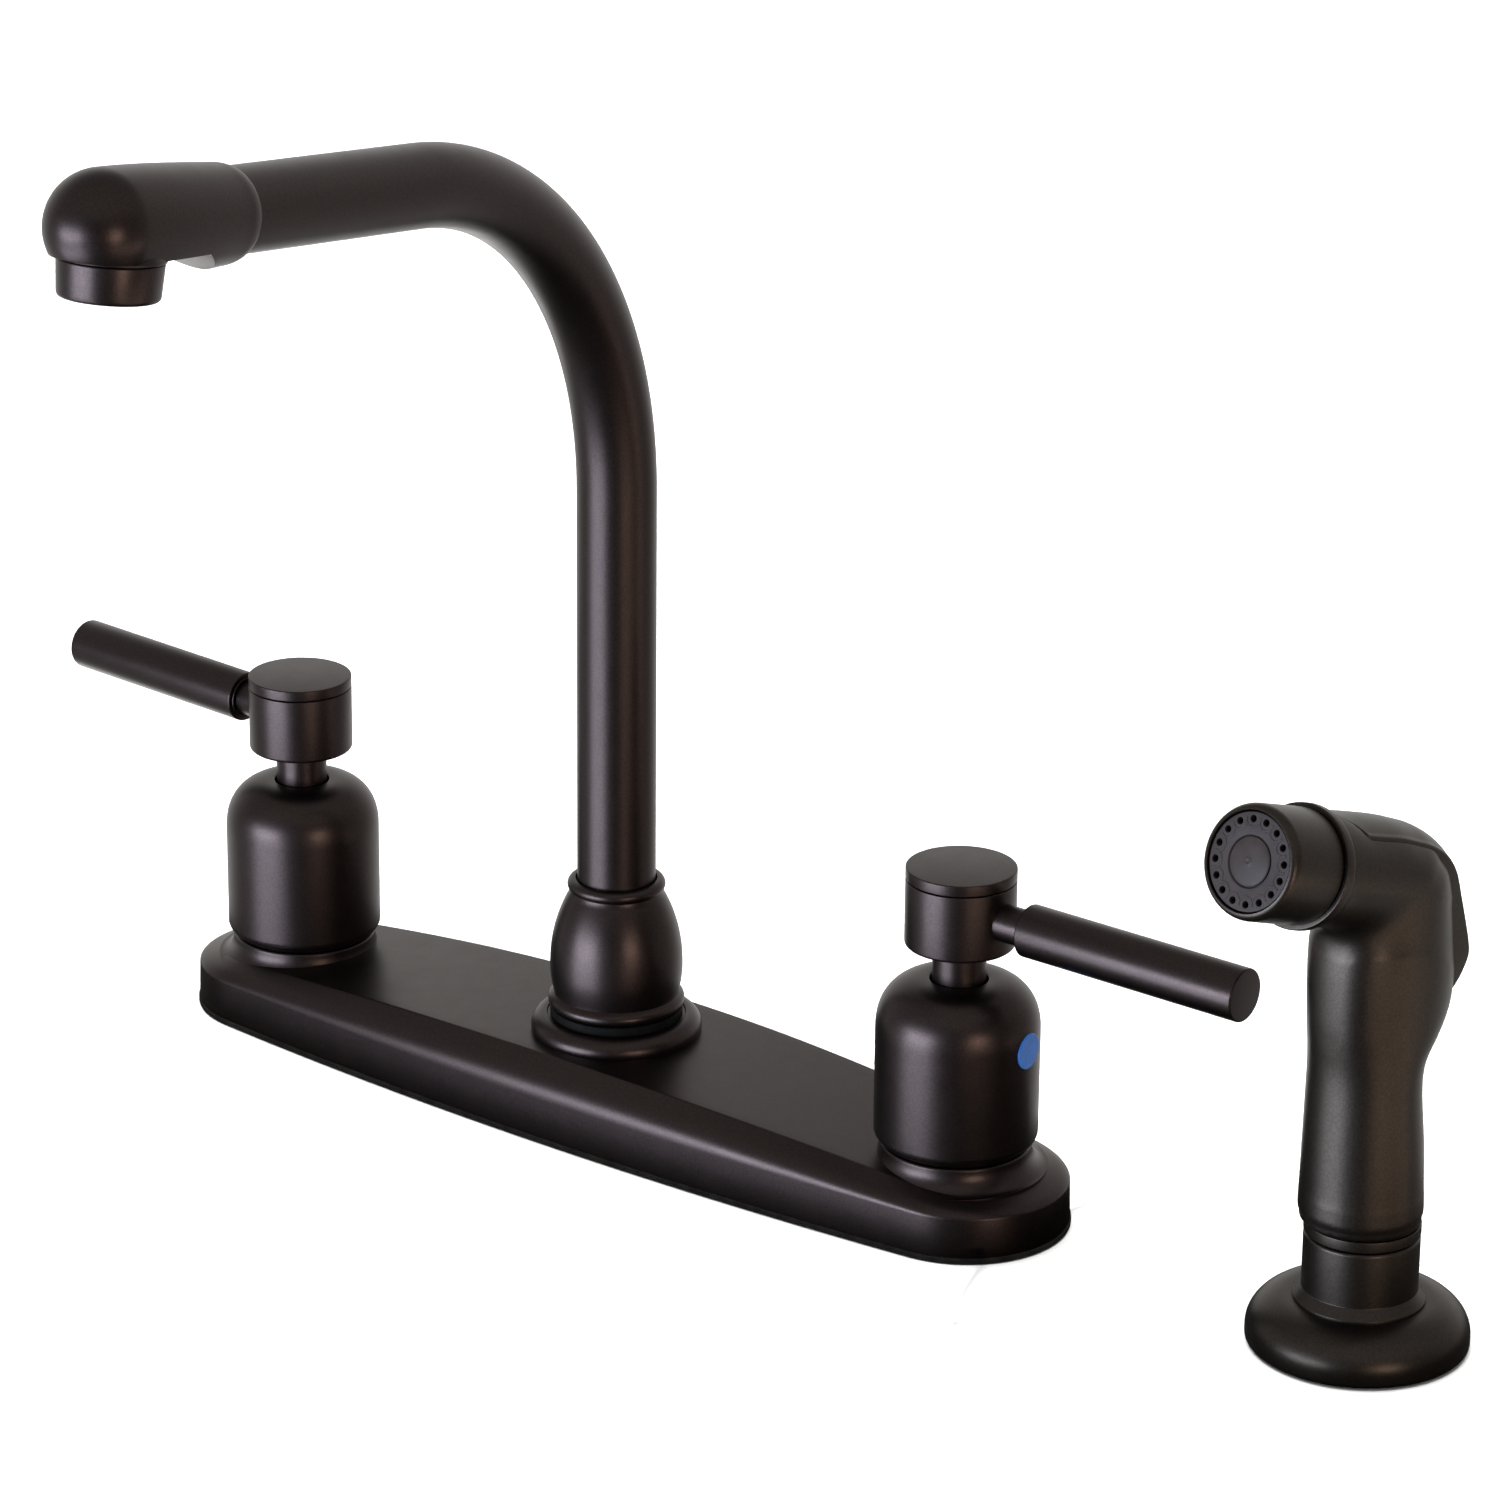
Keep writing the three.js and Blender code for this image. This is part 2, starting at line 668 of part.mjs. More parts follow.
function bell(side, x) {
  const flat = bellRadius - bellDomeReach;
  const dome = [0, 0.35, 0.62, 0.82, 0.95, 1].map((share) => (
    [flat + domeRadius(share), bellShoulder + bellDome * share]));
  const neckHole = neckRadius + runGap + 0.2;
  const inner = bellRadius - bellWall;
  const innerTop = bellTop - bellWall;
  const threadBore = collarRadius + fitGap;
  const threadTop = collarTop - 2;
  const shell = turnedRing([
    [threadBore, handleBossTop], [bellSeatRadius, handleBossTop], [bellSeatRadius, bellFoot],
    ...arc(bellRadius - bellFootRound, bellFoot + bellFootRound, bellFootRound, -75, 0, 3),
    ...dome, [neckHole, bellTop], [neckHole, innerTop], [flat, innerTop],
    [inner - 3, bellShoulder + bellDome * 0.5], [inner, bellShoulder], [inner, threadTop],
    [threadBore, threadTop],
  ]);
  const outward = new THREE.Vector3(Math.sign(x), 0, 0).applyAxisAngle(
    new THREE.Vector3(0, 0, 1), Math.sign(x) * rad(indexTurn));
  const direction = [outward.x, outward.y, 0];
  const recessFloor = bellRadius + indexProud - indexDepth;
  const recess = aimed(rod(indexRadius + fitGap, recessFloor - seatGap, bellRadius + 2),
    direction, [0, 0, indexHeight]);
  const index = aimed(rod(indexRadius, recessFloor, bellRadius + indexProud),
    direction, [0, 0, indexHeight]);
  const group = new THREE.Group();
  group.add(part(`${side}_bell`, cut(shell, recess), bronze));
  group.add(part(`${side}_index_disc`, index, side === 'hot' ? hotRed : coldBlue));
  return group;
}

// ---------- handles ----------

// Built pointing along +X from its own axis, and turned to its side by the caller.
function handle(side) {
  const screwHead = stemTop + hubWeb;
  const capRecess = hubRadius - 3.6;
  const recessFloor = leverHeight + leverRodRadius + 1.2;
  const rodHole = aimed(rod(leverRodRadius + fitGap, leverSocketStart - seatGap, hubRadius + 1),
    [1, 0, 0], [0, 0, leverHeight]);
  const hub = turnedRing([
    [stemBore, neckFoot], [neckRadius, neckFoot], [neckRadius, hubFoot],
    [hubRadius - hubEdge, hubFoot], [hubRadius, hubFoot + hubEdge], [hubRadius, capFoot - capGroove],
    [capRecess, capFoot - capGroove], [capRecess, recessFloor], [screwHeadRadius + fitGap, recessFloor],
    [screwHeadRadius + fitGap, screwHead], [screwRadius + fitGap, screwHead],
    [screwRadius + fitGap, stemTop + seatGap], [stemBore, stemTop + seatGap],
  ]);
  const cap = turned([
    [0, recessFloor + seatGap], [capRecess - fitGap, recessFloor + seatGap],
    [capRecess - fitGap, capFoot], [hubRadius, capFoot], [hubRadius, hubTop - hubEdge],
    [hubRadius - hubEdge, hubTop], [0, hubTop],
  ]);
  const threadFoot = stemTop - 9;
  const screw = turned([
    [0, threadFoot + 1], [screwRadius, threadFoot + 1], [screwRadius, screwHead + seatGap],
    [screwHeadRadius, screwHead + seatGap], [screwHeadRadius, screwHead + seatGap + screwHeadHeight],
    [0, screwHead + seatGap + screwHeadHeight],
  ]);
  const stem = turned([
    [0, stemFootBottom], [discRadius - 0.6, stemFootBottom],
    [discRadius - 0.6, stemFootBottom + stemFootHeight], [stemRadius, stemFootBottom + stemFootHeight],
    [stemRadius, stemTop], [screwRadius + fitGap, stemTop], [screwRadius + fitGap, threadFoot],
    [0, threadFoot],
  ]);
  const lever = turned([
    [0, leverSocketStart], [leverRodRadius, leverSocketStart], [leverRodRadius, leverGripStart - seatGap],
    [leverSpigotRadius, leverGripStart - seatGap],
    [leverSpigotRadius, leverGripStart + leverSpigotDepth - 1], [0, leverGripStart + leverSpigotDepth - 1],
  ]);
  const grip = turned([
    [0, leverGripStart + leverSpigotDepth], [leverSpigotRadius + fitGap, leverGripStart + leverSpigotDepth],
    [leverSpigotRadius + fitGap, leverGripStart], [leverGripRadius - leverEdge, leverGripStart],
    [leverGripRadius, leverGripStart + leverEdge], [leverGripRadius, leverTip - leverEdge],
    [leverGripRadius - leverEdge, leverTip], [0, leverTip],
  ]);
  const group = new THREE.Group();
  group.add(part(`${side}_handle_hub`, cut(hub, rodHole), bronze));
  group.add(part(`${side}_handle_cap`, cap, bronze));
  group.add(part(`${side}_handle_screw`, screw, steel));
  group.add(part(`${side}_cartridge_stem`, stem, brass));
  group.add(part(`${side}_moving_disc`, disc(cartridgeBottom + discThickness + runGap), ceramic));
  group.add(part(`${side}_lever_rod`, aimed(lever, [1, 0, 0], [0, 0, leverHeight]), bronze));
  group.add(part(`${side}_lever_grip`, aimed(grip, [1, 0, 0], [0, 0, leverHeight]), bronze));
  return group;
}

// ---------- water way between the valves and the spout ----------

function crossover(side, x) {
  const start = hubBodyRadius - 1;
  const end = Math.abs(x) - collarRadius + 1;
  const pipe = sleeve(crossoverBore, crossoverRadius, start, end);
  return part(`${side}_crossover_tube`,
    aimed(pipe, [Math.sign(x), 0, 0], [0, 0, crossoverHeight]), brass);
}

function spoutHub() {
  const body = turnedRing([
    [nipplePipe + fitGap, collarFoot], [hubBodyRadius, collarFoot], [hubBodyRadius, hubBodyTop],
    [hubBodyBore, hubBodyTop], [hubBodyBore, hubWaterFloor + 1],
    [nipplePipe + fitGap, hubWaterFloor + 1],
  ]);
  const channel = aimed(rod(crossoverRadius + fitGap, -hubBodyRadius - 1, hubBodyRadius + 1),
    [1, 0, 0], [0, 0, crossoverHeight]);
  return part('spout_hub_body', cut(body, channel), brass);
}

function hoseNipple() {
  const hexTop = collarFoot - 0.1;
  const hexFoot = -4;
  const profile = [
    [nippleBore, -nippleLength], [nipplePipe - 0.6, -nippleLength], [nipplePipe, -nippleLength + 0.6],
    [nipplePipe, hubWaterFloor], [nippleBore, hubWaterFloor],
  ];
  const hex = cut(raised(hexagon(nippleHex), hexFoot, hexTop), rod(nippleBore, hexFoot - 1, hexTop + 1));
  return part('spray_hose_nipple', join(turnedRing(profile), hex), brass);
}

// The diverter sits in the hub under the spout's plug, over the hose nipple.
function diverter() {
  const low = hubWaterFloor + 1.2;
  const channelTop = crossoverHeight + crossoverRadius + 1.2;
  const stem = hubBodyBore - 5.4;
  return part('spray_diverter', turnedRing([
    [1.4, low], [nipplePipe + 1.4, low], [stem, low + 1.8], [stem, channelTop],
    [hubBodyBore - fitGap, channelTop], [hubBodyBore - fitGap, channelTop + 2.4],
    [2.2, channelTop + 2.4], [1.4, channelTop],
  ]), whitePlastic);
}

function baseRing() {
  return part('spout_base_ring',
    sleeve(hubBodyRadius + fitGap, baseRingRadius, spoutBossTop - 0.3, baseRingTop), blackPlastic);
}

function spoutNut() {
  const beadMid = baseRingTop + nutBeadHalf;
  const bead = arc(nutBeadRadius - nutBeadHalf, beadMid, nutBeadHalf, -80, 60, 4);
  const beadTop = bead.at(-1)[1];
  const lower = [0.15, 0.5, 1].map((share) => [
    nutBeadRadius - 1.2 + (nutBulbRadius - nutBeadRadius + 1.2) * Math.sin(rad(90 * share)),
    beadTop + (nutBulbHeight - beadTop) * share,
  ]);
  const upperRise = nutNeckHeight - nutBulbHeight;
  const upper = [0.25, 0.5, 0.75, 1].map((share) => [
    nutNeckRadius + (nutBulbRadius - nutNeckRadius) * (1 - share ** 1.95), nutBulbHeight + upperRise * share,
  ]);
  const topHalf = (nutTop - nutNeckHeight) / 2;
  const topBead = arc(nutTopBeadRadius - topHalf, nutNeckHeight + topHalf, topHalf, -60, 90, 3);
  const tubeHole = tubeRadius + runGap + 0.1;
  const flangeHole = collarFlangeRadius + runGap + 0.1;
  const shelf = tubeFoot + bushingHeight + 2 * seatGap;
  return part('spout_nut', turnedRing([
    [nutSkirt, baseRingTop], ...bead, ...lower, ...upper, ...topBead, [tubeHole, nutTop],
    [tubeHole, shelf], [flangeHole, shelf], [flangeHole, hubBodyTop + 0.6], [nutSkirt, hubBodyTop + 0.6],
  ]), bronze);
}

// The ring that the nut presses on the collar's flange, round the tube.
function bushing() {
  return part('spout_bushing', sleeve(tubeRadius + runGap + 0.1, collarFlangeRadius,
    tubeFoot + seatGap, tubeFoot + seatGap + bushingHeight), whitePlastic);
}

// ---------- spout ----------

// A point on the arm, as far along it from the end of the bend.
function armPoint(along, below = 0) {
  const [c, s] = [Math.cos(rad(armRise)), Math.sin(rad(armRise))];
  return new THREE.Vector3(
    0, -(bendEndR + along * c + below * s), bendEndZ + along * s - below * c);
}

// Sections of the tube, square to the path, closed at each end by the wall's own ring.
function spoutTube() {
  const centre = [new THREE.Vector3(0, 0, tubeFoot), new THREE.Vector3(0, 0, bendStart)];
  const bendSteps = 12;
  for (let i = 1; i <= bendSteps; i += 1) {
    const angle = rad(90 - armRise) * i / bendSteps;
    centre.push(new THREE.Vector3(
      0, -bendRadius * (1 - Math.cos(angle)), bendStart + bendRadius * Math.sin(angle)));
  }
  centre.push(armPoint(headStart + headSocketDepth));
  const across = new THREE.Vector3(1, 0, 0);
  const sides = 16;
  const ringAt = (radius) => centre.map((point, i) => {
    const before = centre[Math.max(i - 1, 0)];
    const after = centre[Math.min(i + 1, centre.length - 1)];
    const along = i === 1 ? new THREE.Vector3(0, 0, 1)
      : after.clone().sub(before).normalize();
    const up = new THREE.Vector3().crossVectors(along, across).normalize();
    return Array.from({ length: sides }, (_, k) => {
      const angle = 2 * Math.PI * k / sides;
      return point.clone().addScaledVector(across, radius * Math.cos(angle))
        .addScaledVector(up, radius * Math.sin(angle)).toArray();
    });
  });
  const outer = ringAt(tubeRadius);
  const inner = ringAt(tubeRadius - tubeWall).reverse();
  const rings = [...outer, ...inner, outer[0]];
  return part('spout_tube', loopedSkin(rings), bronze);
}

// Rings joined in order, the last one being the first again.
function loopedSkin(rings) {
  const count = rings[0].length;
  const index = [];
  for (let r = 0; r + 1 < rings.length; r += 1) {
    for (let i = 0; i < count; i += 1) {
      const j = (i + 1) % count;
      const [low, high] = [r * count, (r + 1) * count];
      index.push(low + i, low + j, high + j, low + i, high + j, high + i);
    }
  }
  const geometry = new THREE.BufferGeometry();
  geometry.setAttribute('position', new THREE.Float32BufferAttribute(rings.flat(2), 3));
  geometry.setIndex(index);
  return closed(geometry);
}

// Placed on the arm: +Z of the given shape runs out along the arm from the bend's end.
function onArm(geometry) {
  const direction = [0, -Math.cos(rad(armRise)), Math.sin(rad(armRise))];
  return aimed(geometry, direction, armPoint(0).toArray());
}

// Placed on the outlet: +Z of the given shape points down out of the head, from the arm's axis.
function onOutlet(geometry) {
  const direction = [0, -Math.sin(rad(armRise)), -Math.cos(rad(armRise))];
  return aimed(geometry, direction, armPoint(outletCentre).toArray());
}

function spoutHead() {
  const domeSteps = 6;
  const dome = Array.from({ length: domeSteps }, (_, i) => {
    const angle = rad(90 * i / domeSteps);
    return [headDomeRadius * Math.cos(angle), headDomeCentre + headDomeRadius * Math.sin(angle)];
  });
  const shell = onArm(turned([
    [0, headStart], [headEndRadius - 0.5, headStart], [headEndRadius, headStart + 0.4],
    [headNeckRadius - 0.2, headStart + headEndRound], [headNeckRadius, headStart + 2 * headEndRound],
    [(headNeckRadius + headDomeRadius) / 2 + 0.1, (headStart + headDomeCentre) / 2 + 2],
    ...dome, [0, headDomeCentre + headDomeRadius],
  ]));
  const far = 40;
  // The underside: flat round the outlet, then slanting down to the full barrel.
  const flatEnd = outletCentre - reliefEnd;
  const slantEnd = flatEnd - (far / 2 - outletFace) * Math.tan(rad(reliefSlope));
  const corners = [
    [flatEnd, outletFace], [slantEnd, far / 2], [headDomeCentre + far, far / 2],
    [headDomeCentre + far, outletFace],
  ].map(([along, below]) => {
    const p = armPoint(along, below);
    return [p.y, p.z];
  });
  const relief = sideRaised(corners, far);
  const lip = onOutlet(rod(outletLipRadius, 0, outletFace + outletLipHeight));
  const tubeHole = onArm(rod(tubeRadius + fitGap, headStart - 1, headStart + headSocketDepth + seatGap));
  const waterHole = onArm(rod(tubeRadius - tubeWall, headStart, outletCentre));
  const outletHole = onOutlet(rod(aeratorThreadRadius + fitGap, 0, far / 2));
  return part('spout_head', cut(join(cut(shell, relief), lip), tubeHole, waterHole, outletHole), bronze);
}

function aerator() {
  const top = outletFace + outletLipHeight + seatGap;
  const foot = top + aeratorHeight;
  const housing = onOutlet(turnedRing([
    [aeratorBore, top - aeratorThreadHeight], [aeratorThreadRadius, top - aeratorThreadHeight],
    [aeratorThreadRadius, top], [aeratorRadius, top], [aeratorFootRadius, foot - aeratorEdge],
    [aeratorFootRadius - aeratorEdge, foot], [aeratorBore - 1, foot],
    [aeratorBore - 1, foot - 1], [aeratorBore, foot - 1],
  ]));
  const insertFoot = foot - 1 - seatGap;
  const insert = onOutlet(rod(aeratorBore - fitGap, insertFoot - insertHeight, insertFoot));
  return [part('aerator_housing', housing, bronze), part('aerator_insert', insert, blackPlastic)];
}

// The plug that turns in the hub, with a groove for each O-ring.
function spoutCollar() {
  const plug = hubBodyBore - runGap;
  const foot = collarFlangeFoot - collarPlugLength;
  const grooves = [ringPitch, 2 * ringPitch].flatMap((up) => {
    const z = collarFlangeFoot - up;
    return [[plug, z + ringSection], [plug - ringGrooveDepth, z + ringSection],
      [plug - ringGrooveDepth, z], [plug, z]];
  }).reverse();
  return part('spout_collar', turnedRing([
    [collarBore, foot], [plug - 0.5, foot], [plug, foot + 0.5], ...grooves,
    [plug, collarFlangeFoot], [collarFlangeRadius, collarFlangeFoot],
    [collarFlangeRadius, collarFlangeFoot + collarFlangeThickness],
    [collarBore, collarFlangeFoot + collarFlangeThickness],
  ]), brass);
}

function spoutRings() {
  const plug = hubBodyBore - runGap;
  return ['upper', 'lower'].map((where, i) => {
    const z = collarFlangeFoot - ringPitch * (i + 1);
    return part(`spout_o_ring_${where}`, sleeve(plug - ringGrooveDepth + 0.2, plug + 0.1,
      z + 0.3, z + ringSection - 0.3), blackRubber);
  });
}

function spout() {
  const group = new THREE.Group();
  group.add(spoutTube(), spoutHead(), ...aerator(), spoutCollar(), ...spoutRings());
  group.rotation.z = rad(spoutTurn);
  return group;
}

// ---------- side sprayer: what is fixed to the deck ----------

function sprayerBase() {
  const hole = holderShankRadius + fitGap;
  const rise = flangeTop - flangeWidest;
  const run = flangeRadius - holderFootRadius - 1;
  const domePoints = [0, 15, 30, 45, 60, 75].map((angle) => [
    flangeRadius - run * (1 - Math.cos(rad(angle))), flangeWidest + rise * Math.sin(rad(angle)),
  ]);
  const underTop = flangeTop - flangeWall;
  const flange = turnedRing([
    [flangeRadius - flangeWall - 2, 0],
    ...arc(flangeRadius - flangeWidest, flangeWidest, flangeWidest, -90, -20, 3), ...domePoints,
    [holderFootRadius + 0.5, flangeTop], [holderFootRadius - 0.4, flangeTop], [hole, flangeTop],
    [hole, underTop], [holderFootRadius + 2, underTop], [flangeRadius - flangeWall - 2, flangeWidest],
  ]);
  const holder = turnedRing([
    [holderBore, -holderShankLength], [holderShankRadius, -holderShankLength],
    [holderShankRadius, flangeTop], [holderFootRadius, flangeTop], [holderFootRadius, flangeTop + 0.5],
    [holderRadius, holderConeTop], [holderRadius, holderTop - holderEdge],
    [holderRadius - holderEdge, holderTop], [holderBore, holderTop],
  ]);
  const nutTopZ = -deckThickness;
  const nut = cut(
    join(rod(sprayNutRadius - 2, nutTopZ - sprayNutHeight, nutTopZ),
      raised(hexagon(2 * sprayNutRadius), nutTopZ - sprayNutHeight, nutTopZ - 1.5)),
    rod(holderShankRadius + fitGap, nutTopZ - sprayNutHeight - 1, nutTopZ + 1));
  const group = new THREE.Group();
  group.add(part('sprayer_flange', flange, darkPlastic));
  group.add(part('sprayer_holder', holder, darkPlastic));
  group.add(part('sprayer_locknut', nut, blackPlastic));
  group.position.set(sprayerX, sprayerY, 0);
  return group;
}

function coupling() {
  const spigotTop = couplingTop + couplingSpigotLength;
  const geometry = turnedRing([
    [hoseBore, couplingFoot], [couplingShank - 1, couplingFoot], [couplingShank, couplingFoot + 1],
    [couplingShank, holderTop + runGap], [couplingRadius - 0.3, holderTop + runGap],
    [couplingRadius, holderTop + runGap + 0.6], [couplingRadius, couplingTop],
    [couplingSpigot, couplingTop], [couplingSpigot, spigotTop], [hoseBore, spigotTop],
  ]);
  const mesh = part('sprayer_coupling', geometry, darkPlastic);
  mesh.position.set(sprayerX, sprayerY, 0);
  return mesh;
}

// ---------- side sprayer: the handset ----------

// Placed on the nozzle: +Z of the given shape runs back from the centre of the spray face.
function onNozzle(geometry) {
  const direction = [0, Math.cos(rad(nozzleTilt)), -Math.sin(rad(nozzleTilt))];
  return aimed(geometry, direction, [0, -nozzleReach, nozzleHeight]);
}

// Handle sections: share of the way up from the foot to the nozzle's height, half width, front
// and back of the section.
const handleSections = [
  [0, 12.3, -12.6, 12.0], [0.0123, 13.3, -13.9, 12.6], [0.035, 14.0, -15.0, 12.9],
  [0.1852, 13.6, -14.8, 12.2], [0.391, 12.9, -14.6, 11.2], [0.4578, 13.0, -15.5, 16.9],
  [0.5144, 13.1, -16.3, 20.4], [0.5936, 13.4, -16.6, 21.1], [0.6739, 13.4, -16.6, 19.9],
  [0.7654, 13.2, -15.5, 18.0], [0.8128, 12.4, -13, 15.0], [0.8436, 10, -9, 11],
];

function handsetHandle() {
  const sides = 18;
  return lofted(handleSections.map(([share, half, front, back]) => Array.from({ length: sides }, (_, i) => {
    const angle = 2 * Math.PI * i / sides;
    const middle = (front + back) / 2;
    return [half * Math.cos(angle), middle + (back - front) / 2 * Math.sin(angle),
      handsetFoot + handleReach * share];
  })));
}

function handsetBarrel() {
  const lipStart = capLength + lipGroove;
  const noseStart = faceRecess + faceThickness + seatGap;
  const noseRadius = capRadius - capWall - fitGap;
  const backSteps = 4;
  const back = Array.from({ length: backSteps }, (_, i) => {
    const angle = rad(90 * i / backSteps);
    return [barrelRadius * Math.cos(angle), barrelEnd + barrelRadius * Math.sin(angle)];
  });
  const barrel = onNozzle(turned([
    [0, noseStart], [noseRadius, noseStart], [noseRadius, lipStart], [lipRadius - 0.4, lipStart],
    [lipRadius, lipStart + 0.5], [lipRadius, lipStart + lipLength - 0.5],
    [barrelRadius, lipStart + lipLength], ...back, [0, barrelEnd + barrelRadius],
  ]));
  const [far, start] = [60, 1];
  const above = [...triggerCrest.slice(start), [far, triggerCrest.at(-1)[1]], [far, nozzleHeight + far],
    [triggerCrest[start][0], nozzleHeight + far]];
  return cut(barrel, sideRaised(above, far));
}

// Crest and inner curve of the trigger in the [y, z] plane, from its nose to its free end, as
// places forward or back and below the nozzle's height. The crest is level with the barrel in
// front and stands off the handset towards the free end.
const belowNozzle = ([y, below]) => [y, nozzleHeight - below];
const triggerCrest = [
  [-20.4, -5.4], [-16.6, -4.0], [-8.8, -1.5], [-2.0, 0.8], [3.4, 3.0], [8.5, 5.4], [13.2, 8.8],
  [17.0, 13.5], [19.7, 20.1], [21.9, 26.5], [23.8, 32.9], [24.2, 36.7], [22.2, 40.8], [19.5, 44.2],
].map(belowNozzle);
const triggerInner = [
  [-20.2, -4.0], [-16.8, 0], [-12.6, 8.6], [-7.4, 8.6], [-1.0, 11.0], [1.4, 20.8], [8.8, 20.8],
  [10.2, 24.8], [11.0, 28.4], [11.8, 32.8], [12.4, 36.4], [12.8, 39.0], [13.2, 41.4], [13.8, 43.5],
].map(belowNozzle);
const crestRound = 13.4; // across the trigger
const triggerOutline = [...triggerCrest, ...[...triggerInner].reverse()];

function turnedOutline(outline, degrees) {
  const [c, s] = [Math.cos(rad(degrees)), Math.sin(rad(degrees))];
  return outline.map(([y, z]) => [
    triggerPivotY + (y - triggerPivotY) * c - (z - triggerPivotZ) * s,
    triggerPivotZ + (y - triggerPivotY) * s + (z - triggerPivotZ) * c,
  ]);
}

// Each corner moved out by the same amount, along the mean of its two sides' normals.
function grown(outline, amount) {
  return outline.map(([y, z], i) => {
    const [py, pz] = outline.at(i - 1);
    const [ny, nz] = outline[(i + 1) % outline.length];
    const [dy, dz] = [ny - py, nz - pz];
    const length = Math.hypot(dy, dz);
    return [y - amount * dz / length, z + amount * dy / length];
  });
}

// How far the trigger reaches to each side: narrow at the nose, then full width.
function triggerHalfAt(y) {
  const share = (y - triggerNoseY) / (triggerShoulderY - triggerNoseY);
  return triggerNoseHalf + (triggerHalfWidth - triggerNoseHalf) * Math.min(Math.max(share, 0), 1);
}

// Sections of the trigger from the nose to the free end, each with a rounded crest.
function triggerShape() {
  const across = [-1, -0.6, 0, 0.6, 1];
  return lofted(triggerCrest.map(([y, z], i) => {
    const [by, bz] = triggerInner[i];
    const half = triggerHalfAt(y);
    const reach = Math.hypot(y - by, z - bz);
    const crest = across.map((share) => {
      const x = share * half;
      const drop = Math.min(crestRound - Math.sqrt(crestRound ** 2 - x ** 2), reach - 0.8);
      return [x, y + (by - y) * drop / reach, z + (bz - z) * drop / reach];
    });
    return [...crest, [half, by, bz], [-half, by, bz]];
  }));
}

// A side outline given the trigger's plan, a little wider all round.
function triggerForm(outline, extra) {
  const [nose, half, far] = [triggerNoseHalf + extra, triggerHalfWidth + extra, 60];
  const edge = [[nose, -far], [nose, triggerNoseY - extra], [half, triggerShoulderY - extra], [half, far]];
  const plan = [...edge, ...edge.map(([x, y]) => [-x, y]).reverse()];
  return fromSolid(toSolid(sideRaised(outline, half)).intersect(toSolid(raised(plan, far, 3 * far))));
}

// The room that the trigger needs in the handset from rest to fully pressed.
function triggerPocket() {
  const outline = grown(triggerOutline, 2 * runGap);
  const presses = [0, 0.25, 0.5, 0.75, 1].map((share) => (
    triggerForm(turnedOutline(outline, -share * (triggerTravel + 1)), 2 * runGap)));
  return join(...presses);
}

const plungerTop = triggerInnerAt(plungerY + plungerHeadRadius) - runGap;
const plungerHeadFoot = plungerTop - plungerHeadHeight;
const springTop = plungerHeadFoot - runGap;
const springFoot = springTop - springLength;

function triggerInnerAt(y) {
  const after = triggerInner.findIndex(([py]) => py >= y);
  const [[y0, z0], [y1, z1]] = [triggerInner[after - 1], triggerInner[after]];
  return z0 + (z1 - z0) * (y - y0) / (y1 - y0);
}

// Up the handle, across the valve's bore to the upper bore, then up and forward to the nozzle.
function waterWay() {
  const across = (from, z) => aimed(rod(crossBore, 0, plungerY - from), [0, 1, 0], [0, from, z]);
  const [c, t] = [Math.cos(rad(nozzleTilt)), Math.sin(rad(nozzleTilt))];
  const end = new THREE.Vector3(0, upperBoreY, upperBoreTop - upperBore);
  const forward = new THREE.Vector3(
    0, (noseBoreDepth - 1) * c - nozzleReach, nozzleHeight - (noseBoreDepth - 1) * t).sub(end);
  return [
    rod(waterBore, handsetFoot, waterBoreTop),
    rod(upperBore, upperBoreFoot, upperBoreTop).translate(0, upperBoreY, 0),
    across(0, waterBoreTop - crossBore - 0.4), across(upperBoreY, upperBoreFoot + crossBore + 0.4),
    aimed(rod(upperBore, 0, forward.length()), forward.toArray(), end.toArray()),
    onNozzle(rod(noseBore, 0, noseBoreDepth)),
  ];
}

function handset() {
  const pin = aimed(rod(pinRadius, -pinLength / 2, pinLength / 2), [1, 0, 0],
    [0, triggerPivotY, triggerPivotZ]);
  const pinHole = aimed(rod(pinRadius + fitGap, -pinLength / 2 - seatGap, barrelRadius + 4), [1, 0, 0],
    [0, triggerPivotY, triggerPivotZ]);
  const body = cut(
    join(handsetHandle(), handsetBarrel()),
    triggerPocket(), pinHole,
    rod(couplingSpigot + runGap, handsetFoot - 1, couplingTop + couplingSpigotLength + runGap),
    ...waterWay(),
    rod(springRadius + springWire + 0.8, springFoot - 0.2, plungerTop + 2).translate(0, plungerY, 0),
    rod(plungerRadius + runGap, plungerTop - plungerLength - 4, springFoot).translate(0, plungerY, 0),
  );
  return [
    part('sprayer_body', body, darkPlastic), part('trigger_pin', pin, steel),
    part('plunger_spring', spring(), steel), sprayCap(), sprayFace(),
  ];
}

function sprayCap() {
  const holdRadius = capRadius - capWall;
  return part('spray_cap', onNozzle(turnedRing([
    [capFaceRadius, 0], [capRadius - capEdge, 0], [capRadius - 0.35, capEdge * 0.35],
    [capRadius, capEdge], [capRearRadius, capLength], [holdRadius, capLength],
    [holdRadius, capStep], [capFaceRadius, capStep],
  ])), darkPlastic);
}

